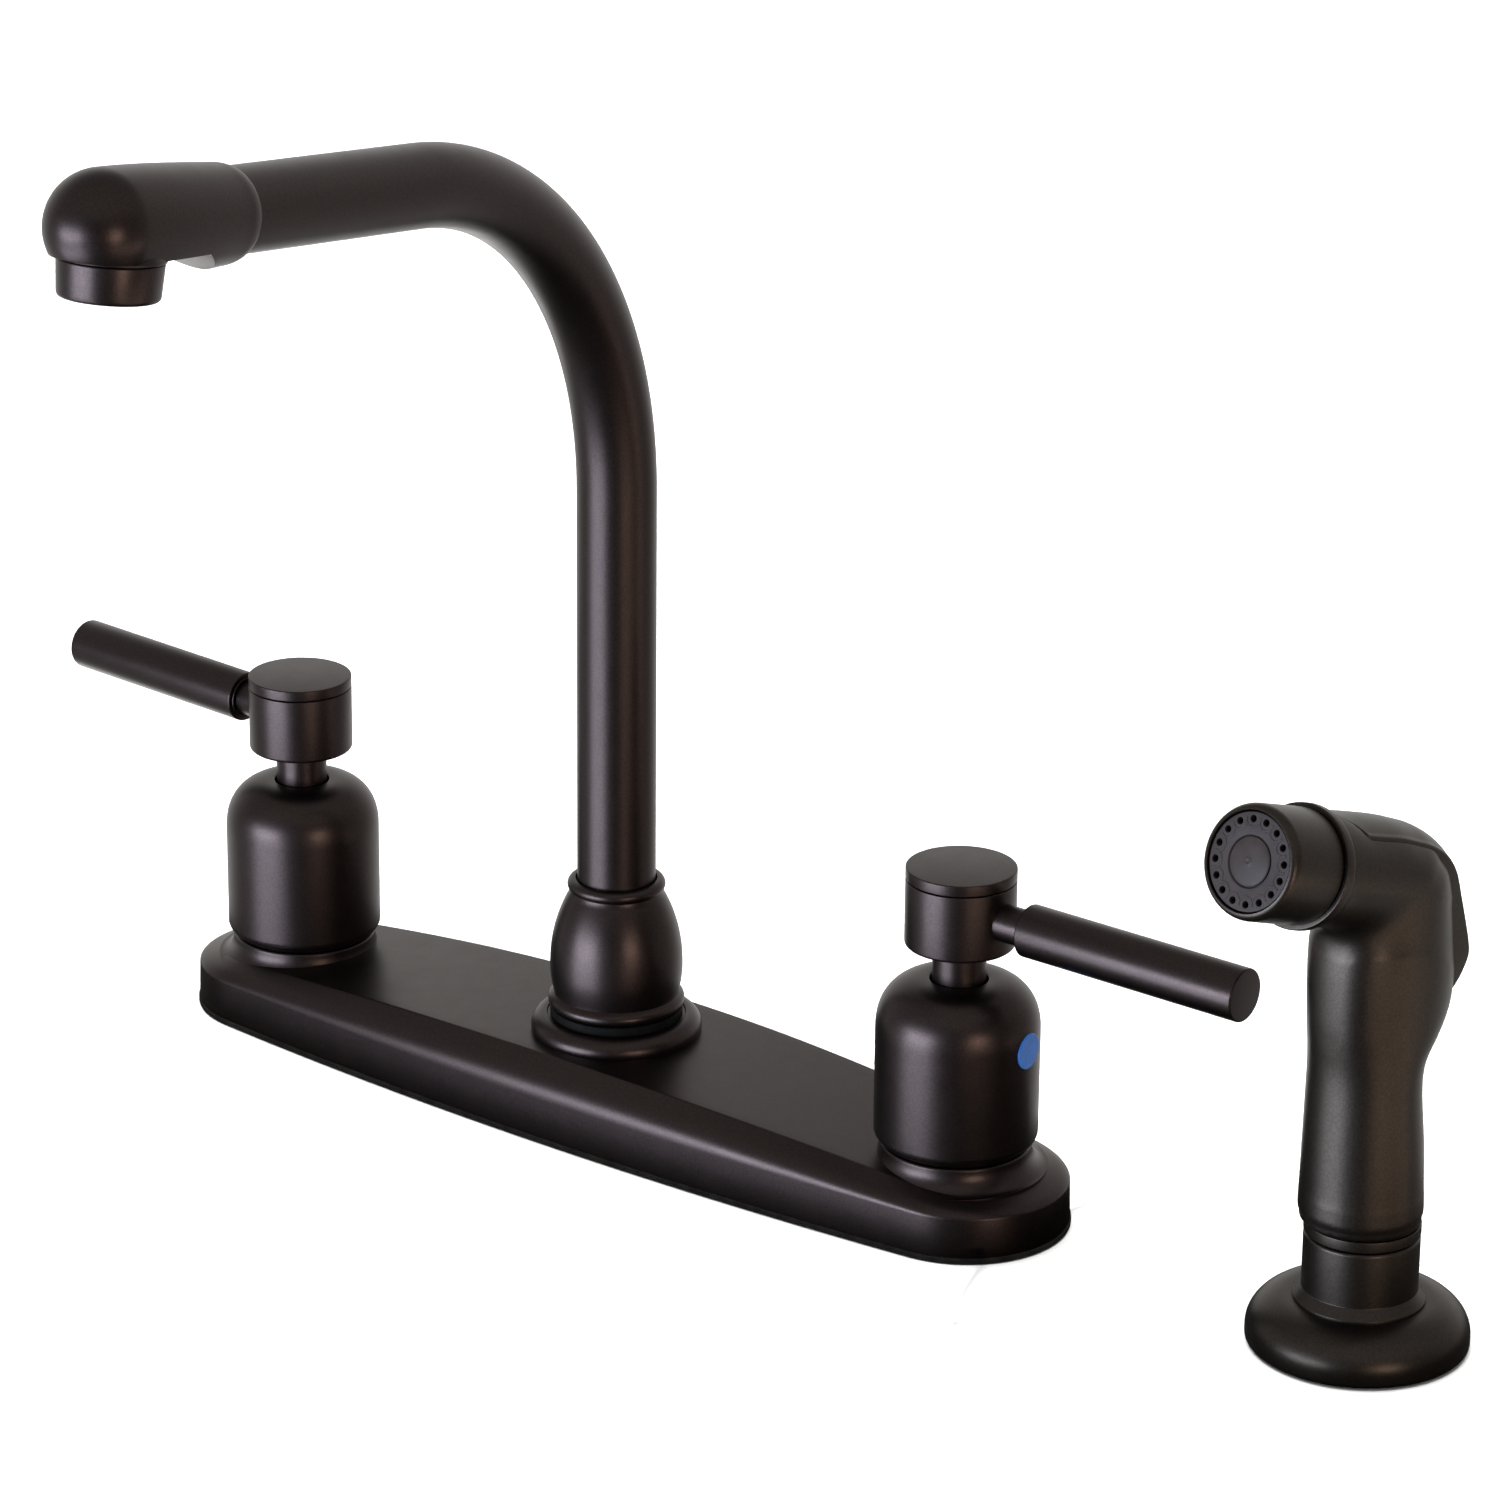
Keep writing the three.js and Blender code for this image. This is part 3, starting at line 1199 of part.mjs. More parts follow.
function sprayFace() {
  const shape = new THREE.Shape();
  shape.absarc(0, 0, capFaceRadius - fitGap, 0, 2 * Math.PI, false);
  for (let i = 0; i < faceHoles; i += 1) {
    const angle = 2 * Math.PI * (i + 0.5) / faceHoles;
    const hole = new THREE.Path();
    hole.absarc(faceHoleCircle * Math.cos(angle), faceHoleCircle * Math.sin(angle), faceHoleRadius,
      0, 2 * Math.PI, true);
    shape.holes.push(hole);
  }
  const plate = closed(new THREE.ExtrudeGeometry(shape,
    { depth: faceThickness, bevelEnabled: false, curveSegments: 4 }).translate(0, 0, faceRecess));
  const disc = turned([
    [0, faceRecess - faceDiscRise], [faceDiscRadius - 0.6, faceRecess - faceDiscRise * 0.6],
    [faceDiscRadius, faceRecess + 0.6], [0, faceRecess + 0.6],
  ]);
  const flange = sleeve(capFaceRadius - fitGap - 0.3, capRadius - capWall - fitGap,
    capStep + seatGap, faceRecess + faceThickness);
  return part('spray_face', onNozzle(join(plate, disc, flange)), facePlastic);
}

// A compression spring round the plunger: one tube with its ends in the bore.
function spring() {
  const [steps, sides] = [springCurls * 7, 4];
  const rings = Array.from({ length: steps + 1 }, (_, i) => {
    const angle = 2 * Math.PI * springCurls * i / steps;
    const out = new THREE.Vector3(Math.cos(angle), Math.sin(angle), 0);
    const rise = springFoot + springWire + (springLength - 2 * springWire) * i / steps;
    return Array.from({ length: sides }, (_, k) => {
      const turn = 2 * Math.PI * k / sides;
      return [
        out.x * (springRadius + springWire * Math.cos(turn)),
        plungerY + out.y * (springRadius + springWire * Math.cos(turn)),
        rise + springWire * Math.sin(turn),
      ];
    });
  });
  return lofted(rings);
}

function trigger() {
  const hole = aimed(rod(pinRadius + runGap, -triggerHalfWidth - 1, triggerHalfWidth + 1), [1, 0, 0],
    [0, triggerPivotY, triggerPivotZ]);
  return part('sprayer_trigger', cut(triggerShape(), hole), darkPlastic);
}

function plunger() {
  return part('valve_plunger', turned([
    [0, plungerTop - plungerLength], [plungerRadius, plungerTop - plungerLength],
    [plungerRadius, plungerHeadFoot], [plungerHeadRadius, plungerHeadFoot],
    [plungerHeadRadius, plungerTop - 0.5], [plungerHeadRadius - 0.8, plungerTop], [0, plungerTop],
  ]).translate(0, plungerY, 0), brass);
}

function sprayer() {
  const group = new THREE.Group();
  group.add(...handset(), trigger(), plunger());
  group.position.set(sprayerX, sprayerY, 0);
  group.rotation.z = rad(sprayerTurn);
  return group;
}

// ---------- assembly ----------

function handleAt(side, x, turn) {
  const group = handle(side);
  group.position.x = x;
  group.rotation.z = turn;
  return group;
}

const faucet = new THREE.Group();
faucet.add(deckPlate(), deckGasket());
faucet.add(valve('hot', -handleX), valve('cold', handleX));
faucet.add(crossover('hot', -handleX), crossover('cold', handleX));
faucet.add(spoutHub(), hoseNipple(), diverter(), baseRing(), spoutNut(), bushing());
faucet.add(spout());
faucet.add(handleAt('hot', -handleX, Math.PI - rad(hotLeverYaw)));
faucet.add(handleAt('cold', handleX, -rad(coldLeverYaw)));
faucet.add(sprayerBase(), coupling(), sprayer());

export default faucet;
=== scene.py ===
"""Looks of a two handle kitchen faucet with a side sprayer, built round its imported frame.

The frame is in metres, +Z up, with its origin on the deck under the spout's swivel axis. The
shapes here are in millimetres, and Shell.object() scales them once, where a mesh is made. Only
the lights' distances and sizes are in metres.
"""

import json
import math

import bmesh
import bpy
from mathutils import Matrix, Vector

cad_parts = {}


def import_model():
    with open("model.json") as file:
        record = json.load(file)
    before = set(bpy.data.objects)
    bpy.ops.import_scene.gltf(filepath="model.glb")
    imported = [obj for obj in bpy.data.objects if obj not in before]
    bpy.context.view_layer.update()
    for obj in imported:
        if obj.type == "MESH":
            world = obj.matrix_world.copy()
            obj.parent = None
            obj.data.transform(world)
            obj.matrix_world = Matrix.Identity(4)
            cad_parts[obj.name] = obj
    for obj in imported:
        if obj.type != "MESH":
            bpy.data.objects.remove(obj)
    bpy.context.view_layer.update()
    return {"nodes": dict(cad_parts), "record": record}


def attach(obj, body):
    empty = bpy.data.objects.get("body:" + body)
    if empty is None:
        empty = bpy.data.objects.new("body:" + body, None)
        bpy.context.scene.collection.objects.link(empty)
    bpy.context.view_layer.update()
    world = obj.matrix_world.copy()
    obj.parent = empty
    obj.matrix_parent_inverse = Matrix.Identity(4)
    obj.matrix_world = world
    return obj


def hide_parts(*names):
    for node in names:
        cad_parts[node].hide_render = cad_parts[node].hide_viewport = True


MM = 0.001
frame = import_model()
record = frame["record"]
scene = bpy.context.scene

BODY = {node: body for body, nodes in record["behaviour"]["bodies"].items() for node in nodes}
SLOT = {row["node"]: row["material_slot"] for row in record["subparts"]}

# ---------- driving dimensions, as in the frame ----------
HANDLE_X = 101.6
SIDES = {"hot": -1, "cold": 1}
LEVER_YAW = {"hot": 3.8, "cold": 0.8}  # degrees past straight out, towards the back or the front

PLATE_HALF_DEPTH = 30.1
PLATE_END_RADIUS = 25.05
PLATE_END_SHIFT = 2.6
PLATE_WALL_TOP = 10.6
PLATE_TOP = 20.1
PLATE_CROWN = 1100
PLATE_TOP_INSET = 6.4
PLATE_THICKNESS = 2.6
GASKET = 1.3
GASKET_PROUD = 0.3

BOSS_FOOT = 2.1  # of the sleeves under both kinds of boss
BOSS_WALL = 3
BOSS_LEDGE = 12  # where a sleeve widens into its boss
SHANK_BORE = 14.2  # through the handle bosses and the bells' feet
SPOUT_HUB_BORE = 12.9
BELL_SEAT = 19.6

SPOUT_TURN = 5
TUBE_RADIUS = 9.5
TUBE_WALL = 1.2
TUBE_FOOT = 42.6
TUBE_OVERLAP = 9.8  # into the head
BEND_START = 157.45
BEND_RADIUS = 92.75
ARM_RISE = 8.35  # degrees above level
HEAD_START = 69
DOME_CENTRE = 109.75
DOME_RADIUS = 12.4
HEAD_NECK = 11.0
HEAD_SAG = 0.35  # of the head's end, below the arm's axis
OUTLET_CENTRE = 106.4
OUTLET_FACE = 6.1
RELIEF_END = 20.5
RELIEF_SLOPE = 60

LEVER_HEIGHT = 77.2
HANDLE_RADIUS = 12.9
NUT_FOOT = 26.5

SPRAYER_X = 210.0
SPRAYER_Y = 3.8
SPRAYER_TURN = -8
FLANGE_RADIUS = 25.15
FLANGE_TOP = 11.0
HANDSET_FOOT = 30.3
NOZZLE_TILT = 18.7
NOZZLE_REACH = 44.4
NOZZLE_HEIGHT = 127.5
BARREL_RADIUS = 13.15
BARREL_END = 47
LIP_START = 17.0
NECK_RADIUS = 11  # of the barrel inside the cap


def rad(degrees):
    return math.radians(degrees)


# ---------- places ----------
def at(x, y, z=0):
    return Matrix.Translation((x, y, z))


def turned(degrees, axis="Z"):
    return Matrix.Rotation(rad(degrees), 4, axis)


def aimed(direction, place=(0, 0, 0)):
    """A place whose +Z points along a direction."""
    turn = Vector((0, 0, 1)).rotation_difference(Vector(direction).normalized())
    return Matrix.Translation(place) @ turn.to_matrix().to_4x4()


BEND_END_Y = -BEND_RADIUS * (1 - math.sin(rad(ARM_RISE)))
BEND_END_Z = BEND_START + BEND_RADIUS * math.cos(rad(ARM_RISE))
ARM_ALONG = Vector((0, -math.cos(rad(ARM_RISE)), math.sin(rad(ARM_RISE))))
ARM_BELOW = Vector((0, -math.sin(rad(ARM_RISE)), -math.cos(rad(ARM_RISE))))
ARM_START = Vector((0, BEND_END_Y, BEND_END_Z))
SPOUT = turned(SPOUT_TURN)
HANDSET = at(SPRAYER_X, SPRAYER_Y) @ turned(SPRAYER_TURN)
NOZZLE_BACK = Vector((0, math.cos(rad(NOZZLE_TILT)), -math.sin(rad(NOZZLE_TILT))))
NOZZLE = HANDSET @ aimed(NOZZLE_BACK, (0, -NOZZLE_REACH, NOZZLE_HEIGHT))


def arm_point(along, below=0.0):
    return ARM_START + along * ARM_ALONG + below * ARM_BELOW


ON_ARM = SPOUT @ aimed(ARM_ALONG, ARM_START)
ON_OUTLET = SPOUT @ aimed(ARM_BELOW, arm_point(OUTLET_CENTRE))


def handle_place(side):
    """The handle's own frame, its lever pointing along +X."""
    out = 180 - LEVER_YAW[side] if side == "hot" else -LEVER_YAW[side]
    return at(SIDES[side] * HANDLE_X, 0) @ turned(out)


# ---------- materials ----------
class Look:
    """A procedural material: a Principled shader under colour, roughness and bump noise."""

    def __init__(self, name, metallic, **sockets):
        self.material = bpy.data.materials.new(name)
        self.material.use_nodes = True
        self.nodes = self.material.node_tree.nodes
        self.links = self.material.node_tree.links
        self.shader = self.nodes["Principled BSDF"]
        self.shader.inputs["Metallic"].default_value = metallic
        for socket, value in sockets.items():
            self.shader.inputs[socket.replace("_", " ")].default_value = value
        self.place = self.nodes.new("ShaderNodeTexCoord").outputs["Object"]

    def noise(self, scale_mm, detail=3.0, stretch=(1, 1, 1)):
        mapping = self.nodes.new("ShaderNodeMapping")
        mapping.inputs["Scale"].default_value = stretch
        self.links.new(self.place, mapping.inputs["Vector"])
        noise = self.nodes.new("ShaderNodeTexNoise")
        noise.inputs["Scale"].default_value = 1 / (scale_mm * MM)
        noise.inputs["Detail"].default_value = detail
        self.links.new(mapping.outputs["Vector"], noise.inputs["Vector"])
        return noise.outputs["Fac"]

    def ramp(self, value, low, high):
        """Noise, most of which lies between 0.3 and 0.7, spread over a range."""
        spread = self.nodes.new("ShaderNodeMapRange")
        spread.inputs["From Min"].default_value = 0.3
        spread.inputs["From Max"].default_value = 0.7
        spread.inputs["To Min"].default_value = low
        spread.inputs["To Max"].default_value = high
        self.links.new(value, spread.inputs["Value"])
        return spread.outputs["Result"]

    def colour(self, first, second, scale_mm, detail=3.0):
        """Two colours that run into each other, patch by patch."""
        ramp = self.nodes.new("ShaderNodeValToRGB")
        ramp.color_ramp.elements[0].position = 0.35
        ramp.color_ramp.elements[1].position = 0.65
        ramp.color_ramp.elements[0].color = (*first, 1)
        ramp.color_ramp.elements[1].color = (*second, 1)
        self.links.new(self.noise(scale_mm, detail), ramp.inputs["Fac"])
        self.links.new(ramp.outputs["Color"], self.shader.inputs["Base Color"])
        return self

    def roughness(self, low, high, scale_mm):
        self.links.new(self.ramp(self.noise(scale_mm), low, high), self.shader.inputs["Roughness"])
        return self

    def bump(self, height_mm, scale_mm, stretch=(1, 1, 1)):
        return self.raised(self.noise(scale_mm, 2.0, stretch), height_mm)

    def raised(self, value, height_mm):
        """One more layer of relief over those already there."""
        bump = self.nodes.new("ShaderNodeBump")
        bump.inputs["Strength"].default_value = 1.0
        bump.inputs["Distance"].default_value = height_mm * MM
        self.links.new(value, bump.inputs["Height"])
        under = self.shader.inputs["Normal"]
        if under.is_linked:
            self.links.new(under.links[0].from_socket, bump.inputs["Normal"])
        self.links.new(bump.outputs["Normal"], under)
        return self


def bronze():
    look = Look("satin_bronze", metallic=1.0)
    look.colour((0.047, 0.035, 0.034), (0.057, 0.043, 0.042), scale_mm=0.45, detail=1.0)
    look.roughness(0.34, 0.37, scale_mm=5)
    return look.bump(0.009, 0.35)


def brass():
    look = Look("machined_brass", metallic=1.0)
    look.colour((0.58, 0.40, 0.17), (0.68, 0.50, 0.24), scale_mm=6)
    look.roughness(0.26, 0.42, scale_mm=2)
    return look.bump(0.02, 0.7, stretch=(0.15, 0.15, 3))


def steel():
    look = Look("stainless_steel", metallic=1.0)
    look.colour((0.52, 0.52, 0.53), (0.64, 0.64, 0.66), scale_mm=4)
    look.roughness(0.24, 0.38, scale_mm=1.5)
    return look.bump(0.015, 0.5, stretch=(0.2, 0.2, 2))


def rubber():
    look = Look("black_rubber", metallic=0.0, Specular_IOR_Level=0.12)
    look.colour((0.007, 0.006, 0.006), (0.013, 0.012, 0.011), scale_mm=3)
    look.roughness(0.6, 0.8, scale_mm=2)
    return look.bump(0.03, 0.4)


def black_plastic():
    look = Look("black_moulding", metallic=0.0, Specular_IOR_Level=0.04)
    look.colour((0.003, 0.003, 0.003), (0.006, 0.006, 0.006), scale_mm=6)
    look.roughness(0.5, 0.6, scale_mm=2)
    return look.bump(0.015, 0.4)


def white_plastic():
    look = Look("white_moulding", metallic=0.0)
    look.colour((0.68, 0.66, 0.60), (0.78, 0.76, 0.70), scale_mm=7)
    look.roughness(0.38, 0.5, scale_mm=2)
    return look.bump(0.012, 0.4)


def ceramic():
    look = Look("polished_ceramic", metallic=0.0)
    look.colour((0.82, 0.80, 0.74), (0.90, 0.88, 0.83), scale_mm=3)
    look.roughness(0.08, 0.16, scale_mm=2)
    return look.bump(0.003, 0.5)


def sprayer_plastic():
    look = Look("bronze_moulding", metallic=1.0)
    look.colour((0.050, 0.041, 0.036), (0.062, 0.051, 0.044), scale_mm=0.5, detail=1.0)
    look.roughness(0.37, 0.40, scale_mm=3)
    return look.bump(0.010, 0.35)


def face_plastic():
    look = Look("face_moulding", metallic=0.0, Specular_IOR_Level=0.3)
    look.colour((0.018, 0.013, 0.014), (0.023, 0.017, 0.018), scale_mm=3)
    look.roughness(0.42, 0.52, scale_mm=1.5)
    return look.bump(0.01, 0.4)


def mark(name, colour):
    look = Look(name, metallic=0.0, Specular_IOR_Level=0.25)
    look.colour(tuple(0.9 * c for c in colour), tuple(1.08 * c for c in colour), scale_mm=1.2)
    look.roughness(0.38, 0.5, scale_mm=0.8)
    return look.bump(0.008, 0.3)


LOOKS = {
    "bronze": bronze(),
    "brass": brass(),
    "steel": steel(),
    "rubber": rubber(),
    "black_plastic": black_plastic(),
    "white_plastic": white_plastic(),
    "ceramic": ceramic(),
    "sprayer_plastic": sprayer_plastic(),
    "face_plastic": face_plastic(),
    "hot_mark": mark("hot_mark", (0.45, 0.03, 0.03)),
    "cold_mark": mark("cold_mark", (0.020, 0.095, 0.33)),
}


# ---------- shapes ----------
class Shell:
    """Points in millimetres and the faces between them."""

    def __init__(self, points=(), faces=()):
        self.points = list(points)
        self.faces = list(faces)

    def __add__(self, other):
        first = len(self.points)
        moved = [tuple(first + i for i in face) for face in other.faces]
        return Shell(self.points + other.points, self.faces + moved)

    def placed(self, matrix):
        return Shell([matrix @ p for p in self.points], self.faces)

    def object(self, name):
        mesh = bpy.data.meshes.new(name)
        mesh.from_pydata([p * MM for p in self.points], [], self.faces)
        mesh.validate()
        made = bpy.data.objects.new(name, mesh)
        scene.collection.objects.link(made)
        face_outwards(made)
        return made


def face_outwards(obj):
    work = bmesh.new()
    work.from_mesh(obj.data)
    bmesh.ops.remove_doubles(work, verts=work.verts, dist=1e-7)
    bmesh.ops.recalc_face_normals(work, faces=work.faces)
    work.to_mesh(obj.data)
    work.free()


def stands_for(node, obj, sharp=30):
    """Makes an object the skin of a CAD node: its body, name and its slot's material."""
    obj.name = f"{node}_skin"
    obj.data.shade_smooth()
    obj.data.set_sharp_from_angle(angle=rad(sharp))
    obj.data.materials.clear()
    obj.data.materials.append(LOOKS[SLOT[node]].material)
    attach(obj, BODY[node])
    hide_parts(node)
    return obj


def skin(node, *shells, sharp=30):
    whole = sum(shells[1:], shells[0])
    return stands_for(node, whole.object(node), sharp)


def strip(low, high):
    """Faces between two rings of point numbers; a ring of one point is a tip."""
    count = max(len(low), len(high))
    faces = []
    for i in range(count):
        j = (i + 1) % count
        if len(low) == 1:
            faces.append((low[0], high[j], high[i]))
        elif len(high) == 1:
            faces.append((low[i], low[j], high[0]))
        else:
            faces.append((low[i], low[j], high[j], high[i]))
    return faces


def strips(rings):
    """Faces between each ring of point numbers and the next."""
    return [face for low, high in zip(rings, rings[1:]) for face in strip(low, high)]


def numbered(rings):
    """The point numbers of rings of equal counts that follow each other."""
    count = len(rings[0])
    return [list(range(i * count, (i + 1) * count)) for i in range(len(rings))]


def lathe(profile, place=None, around=120, ring=False):
    """A profile of (radius, height) points turned round +Z; a ring closes on its own start."""
    points, rings = [], []
    for radius, height in profile:
        first = len(points)
        if radius < 1e-6:
            points.append(Vector((0, 0, height)))
        else:
            points += [Vector((radius * math.cos(a), radius * math.sin(a), height))
                       for a in (2 * math.pi * i / around for i in range(around))]
        rings.append(list(range(first, len(points))))
    if ring:
        rings.append(rings[0])
    shell = Shell(points, strips(rings))
    return shell.placed(place) if place is not None else shell


def loft(rings, looped=False):
    """Rings of equal counts joined into a skin; one that isn't looped has a tip at each end."""
    points = [p for ring in rings for p in ring]
    numbers = numbered(rings)
    if looped:
        numbers.append(numbers[0])
    else:
        numbers = [[len(points)], *numbers, [len(points) + 1]]
        points += [sum(ring, Vector()) / len(ring) for ring in (rings[0], rings[-1])]
    return Shell(points, strips(numbers))


def soft(corners, ring=False, steps=5):
    """A profile's corners (x, y) or (x, y, fillet), with each fillet drawn as a curve."""
    profile = []
    last = len(corners) - 1
    for i, corner in enumerate(corners):
        here = Vector(corner[:2])
        if len(corner) < 3 or (not ring and i in (0, last)):
            profile.append(tuple(here))
            continue
        before = Vector(corners[i - 1][:2]) - here
        after = Vector(corners[(i + 1) % len(corners)][:2]) - here
        reach = corner[2] * math.tan((math.pi - before.angle(after)) / 2)
        reach = min(reach, 0.49 * before.length, 0.49 * after.length)
        start = here + before.normalized() * reach
        end = here + after.normalized() * reach
        for k in range(steps + 1):
            t = k / steps
            profile.append(tuple((1 - t) ** 2 * start + 2 * t * (1 - t) * here + t * t * end))
    return profile


def arc(centre_r, centre_z, radius, start, end, steps):
    """Points of an arc in a profile, angles in degrees."""
    angles = (rad(start + (end - start) * i / steps) for i in range(steps + 1))
    return [(centre_r + radius * math.cos(a), centre_z + radius * math.sin(a)) for a in angles]


def through(rows, steps):
    """A smooth curve through rows of numbers, with so many steps between each two."""
    rows = [Vector(row) for row in rows]
    rows = [2 * rows[0] - rows[1], *rows, 2 * rows[-1] - rows[-2]]
    curve = []
    for p0, p1, p2, p3 in zip(rows, rows[1:], rows[2:], rows[3:]):
        t1 = max((p1 - p0).length, 1e-6) ** 0.5
        t2 = t1 + max((p2 - p1).length, 1e-6) ** 0.5
        t3 = t2 + max((p3 - p2).length, 1e-6) ** 0.5
        for k in range(steps):
            t = t1 + (t2 - t1) * k / steps
            a1 = p0 * ((t1 - t) / t1) + p1 * (t / t1)
            a2 = p1 * ((t2 - t) / (t2 - t1)) + p2 * ((t - t1) / (t2 - t1))
            a3 = p2 * ((t3 - t) / (t3 - t2)) + p3 * ((t - t2) / (t3 - t2))
            b1 = a1 * ((t2 - t) / t2) + a2 * (t / t2)
            b2 = a2 * ((t3 - t) / (t3 - t1)) + a3 * ((t - t1) / (t3 - t1))
            curve.append(b1 * ((t2 - t) / (t2 - t1)) + b2 * ((t - t1) / (t2 - t1)))
    curve.append(rows[-2])
    return curve


def prism(outline, half):
    """An outline of (y, z) points, as thick as 2 * half, centred on X = 0."""
    points = [Vector((x, y, z)) for x in (-half, half) for y, z in outline]
    count = len(outline)
    near, far = list(range(count)), list(range(count, 2 * count))
    return Shell(points, [tuple(near), tuple(far), *strip(near, far)])


def applied(obj, kind, **settings):
    """An object's mesh after one modifier."""
    modifier = obj.modifiers.new(kind, kind)
    for key, value in settings.items():
        setattr(modifier, key, value)
    graph = bpy.context.evaluated_depsgraph_get()
    mesh = bpy.data.meshes.new_from_object(obj.evaluated_get(graph))
    obj.modifiers.clear()
    obj.data = mesh
    return obj


def cut(obj, shell):
    """An object less a shell."""
    tool = shell.object("tool")
    applied(obj, "BOOLEAN", object=tool, operation="DIFFERENCE", solver="EXACT")
    bpy.data.objects.remove(tool)
    return obj


# ---------- deck plate, its bosses and its gasket ----------
def plate_top_at(x):
    return PLATE_TOP - PLATE_CROWN + math.sqrt(PLATE_CROWN ** 2 - x ** 2)


def plate_ring(inset, height_at):
    """The plate's outline, inset from the foot, each front point paired with its mirror."""
    end_x = HANDLE_X + PLATE_END_SHIFT
    drop = PLATE_HALF_DEPTH - PLATE_END_RADIUS
    bow_centre = (end_x ** 2 - drop ** 2) / (2 * drop)
    bow = PLATE_HALF_DEPTH + bow_centre - inset
    meet = math.atan2(end_x, bow_centre)
    end_steps, bow_steps = 30, 60
    end = []
    for i in range(end_steps):
        a = math.pi + (math.pi / 2 - meet) * i / end_steps
        end.append(((PLATE_END_RADIUS - inset) * math.cos(a) - end_x,
                    (PLATE_END_RADIUS - inset) * math.sin(a)))
    angles = (meet * (2 * i / bow_steps - 1) for i in range(bow_steps + 1))
    front = [*end, *((bow * math.sin(a), bow_centre - bow * math.cos(a)) for a in angles),
             *((-x, y) for x, y in reversed(end))]
    back = [(x, -y) for x, y in reversed(front[1:-1])]
    return [Vector((x, y, height_at(x))) for x, y in front + back]


def flat_ends(first, count):
    """Faces across a plate ring, from each front point to its mirror."""
    mirror = [first + (count - i) % count for i in range(count)]
    return [(first + i, first + i + 1, mirror[i + 1], mirror[i]) for i in range(count // 2)]


def plate_shell(rings, looped):
    count = len(rings[0])
    points = [p for ring in rings for p in ring]
    numbers = numbered(rings)
    faces = strips(numbers)
    if looped:
        faces += strip(numbers[-1], numbers[0])
    else:
        faces += flat_ends(0, count) + flat_ends(numbers[-1][0], count)
    return Shell(points, faces)


def deck_plate():
    rise = PLATE_TOP - PLATE_WALL_TOP
    draft, shoulder_corner, shoulder_round = 0.3, PLATE_WALL_TOP + 4.4, 12
    section = soft([
        (0, GASKET), (0, GASKET + 0.3, 0.4), (draft, shoulder_corner, shoulder_round),
        (PLATE_TOP_INSET, PLATE_TOP, 1.0), (PLATE_TOP_INSET + 3, PLATE_TOP),
    ], steps=8)

    def height(z):
        """Heights above the wall follow the crowned top."""
        share = max(z - PLATE_WALL_TOP, 0) / rise
        foot = min(z, PLATE_WALL_TOP)
        return lambda x: foot + (plate_top_at(x) - PLATE_WALL_TOP) * share

    outer = [plate_ring(inset, height(z)) for inset, z in section]
    hollow_top = PLATE_TOP - PLATE_THICKNESS
    inner = [plate_ring(PLATE_THICKNESS + PLATE_TOP_INSET, height(hollow_top)),
             plate_ring(PLATE_THICKNESS + 0.6, height(PLATE_WALL_TOP - 1)),
             plate_ring(PLATE_THICKNESS, height(GASKET))]
    shell = plate_shell([*reversed(outer), *reversed(inner)], looped=False)
    bosses = [handle_boss().placed(at(side * HANDLE_X, 0)) for side in SIDES.values()]
    skin("deck_plate", shell, spout_boss(), *bosses)


def boss_sleeve(bore, foot_radius):
    """The hidden start of a boss's profile, up to its own foot."""
    return [(bore, BOSS_FOOT), (bore + BOSS_WALL, BOSS_FOOT), (bore + BOSS_WALL, BOSS_LEDGE),
            (foot_radius, BOSS_LEDGE)]


def handle_boss():
    radius, top, edge, reach, drop = 17.8, BELL_SEAT, 0.6, 3.9, 5.2
    flare = [(radius + reach * (1 - math.cos(a)), top - edge - drop * math.sin(a))
             for a in (rad(90 - 90 * i / 14) for i in range(15))]
    return lathe([*boss_sleeve(SHANK_BORE, radius + reach), *flare,
                  *arc(radius - edge, top - edge, edge, 15, 90, 4), (SHANK_BORE, top)], ring=True)


def spout_boss():
    radius, top, round_edge, foot = 20.8, 24.5, 3.4, 20.0
    recess_radius, recess_floor = 16.7, 24.1
    return lathe([*boss_sleeve(SPOUT_HUB_BORE, foot),
                  *arc(radius - round_edge, top - round_edge, round_edge, -25, 98, 18),
                  (recess_radius, recess_floor), (SPOUT_HUB_BORE, recess_floor)], ring=True)


def deck_gasket():
    rings = [plate_ring(inset, lambda x, z=z: z) for inset, z in soft([
        (0, GASKET), (-GASKET_PROUD, GASKET, 0.2), (-GASKET_PROUD, 0, 0.2), (0, 0)])]
    skin("deck_gasket", plate_shell(rings, looped=False))


# ---------- bells, handles ----------
def bell(side):
    radius, wall, foot_round, shoulder, top = 19.2, 3.1, 2.9, 47.8, 60.3
    rim, foot = 16.2, BELL_SEAT + 0.25
    hole, skirt_top, hollow_top = 6.8, 34, 54
    dome_reach, power = 11.5, 2.29
    flat = radius - dome_reach
    shares = [math.sin(rad(90 * i / 28)) for i in range(29)]
    dome = [(flat + dome_reach * (1 - s ** power) ** (1 / power), shoulder + (top - shoulder) * s)
            for s in shares]
    profile = [
        (SHANK_BORE, BELL_SEAT), (rim, BELL_SEAT), (rim, foot),
        *arc(radius - foot_round, foot + foot_round, foot_round, -85, 0, 12), *dome,
        *soft([(flat, top), (hole, top, 0.4), (hole, top - wall), (flat, top - wall)])[1:],
        (radius - wall - 3, hollow_top), (radius - wall, shoulder), (radius - wall, skirt_top),
        (SHANK_BORE, skirt_top),
    ]
    skin(f"{side}_bell", lathe(profile, at(SIDES[side] * HANDLE_X, 0), ring=True))


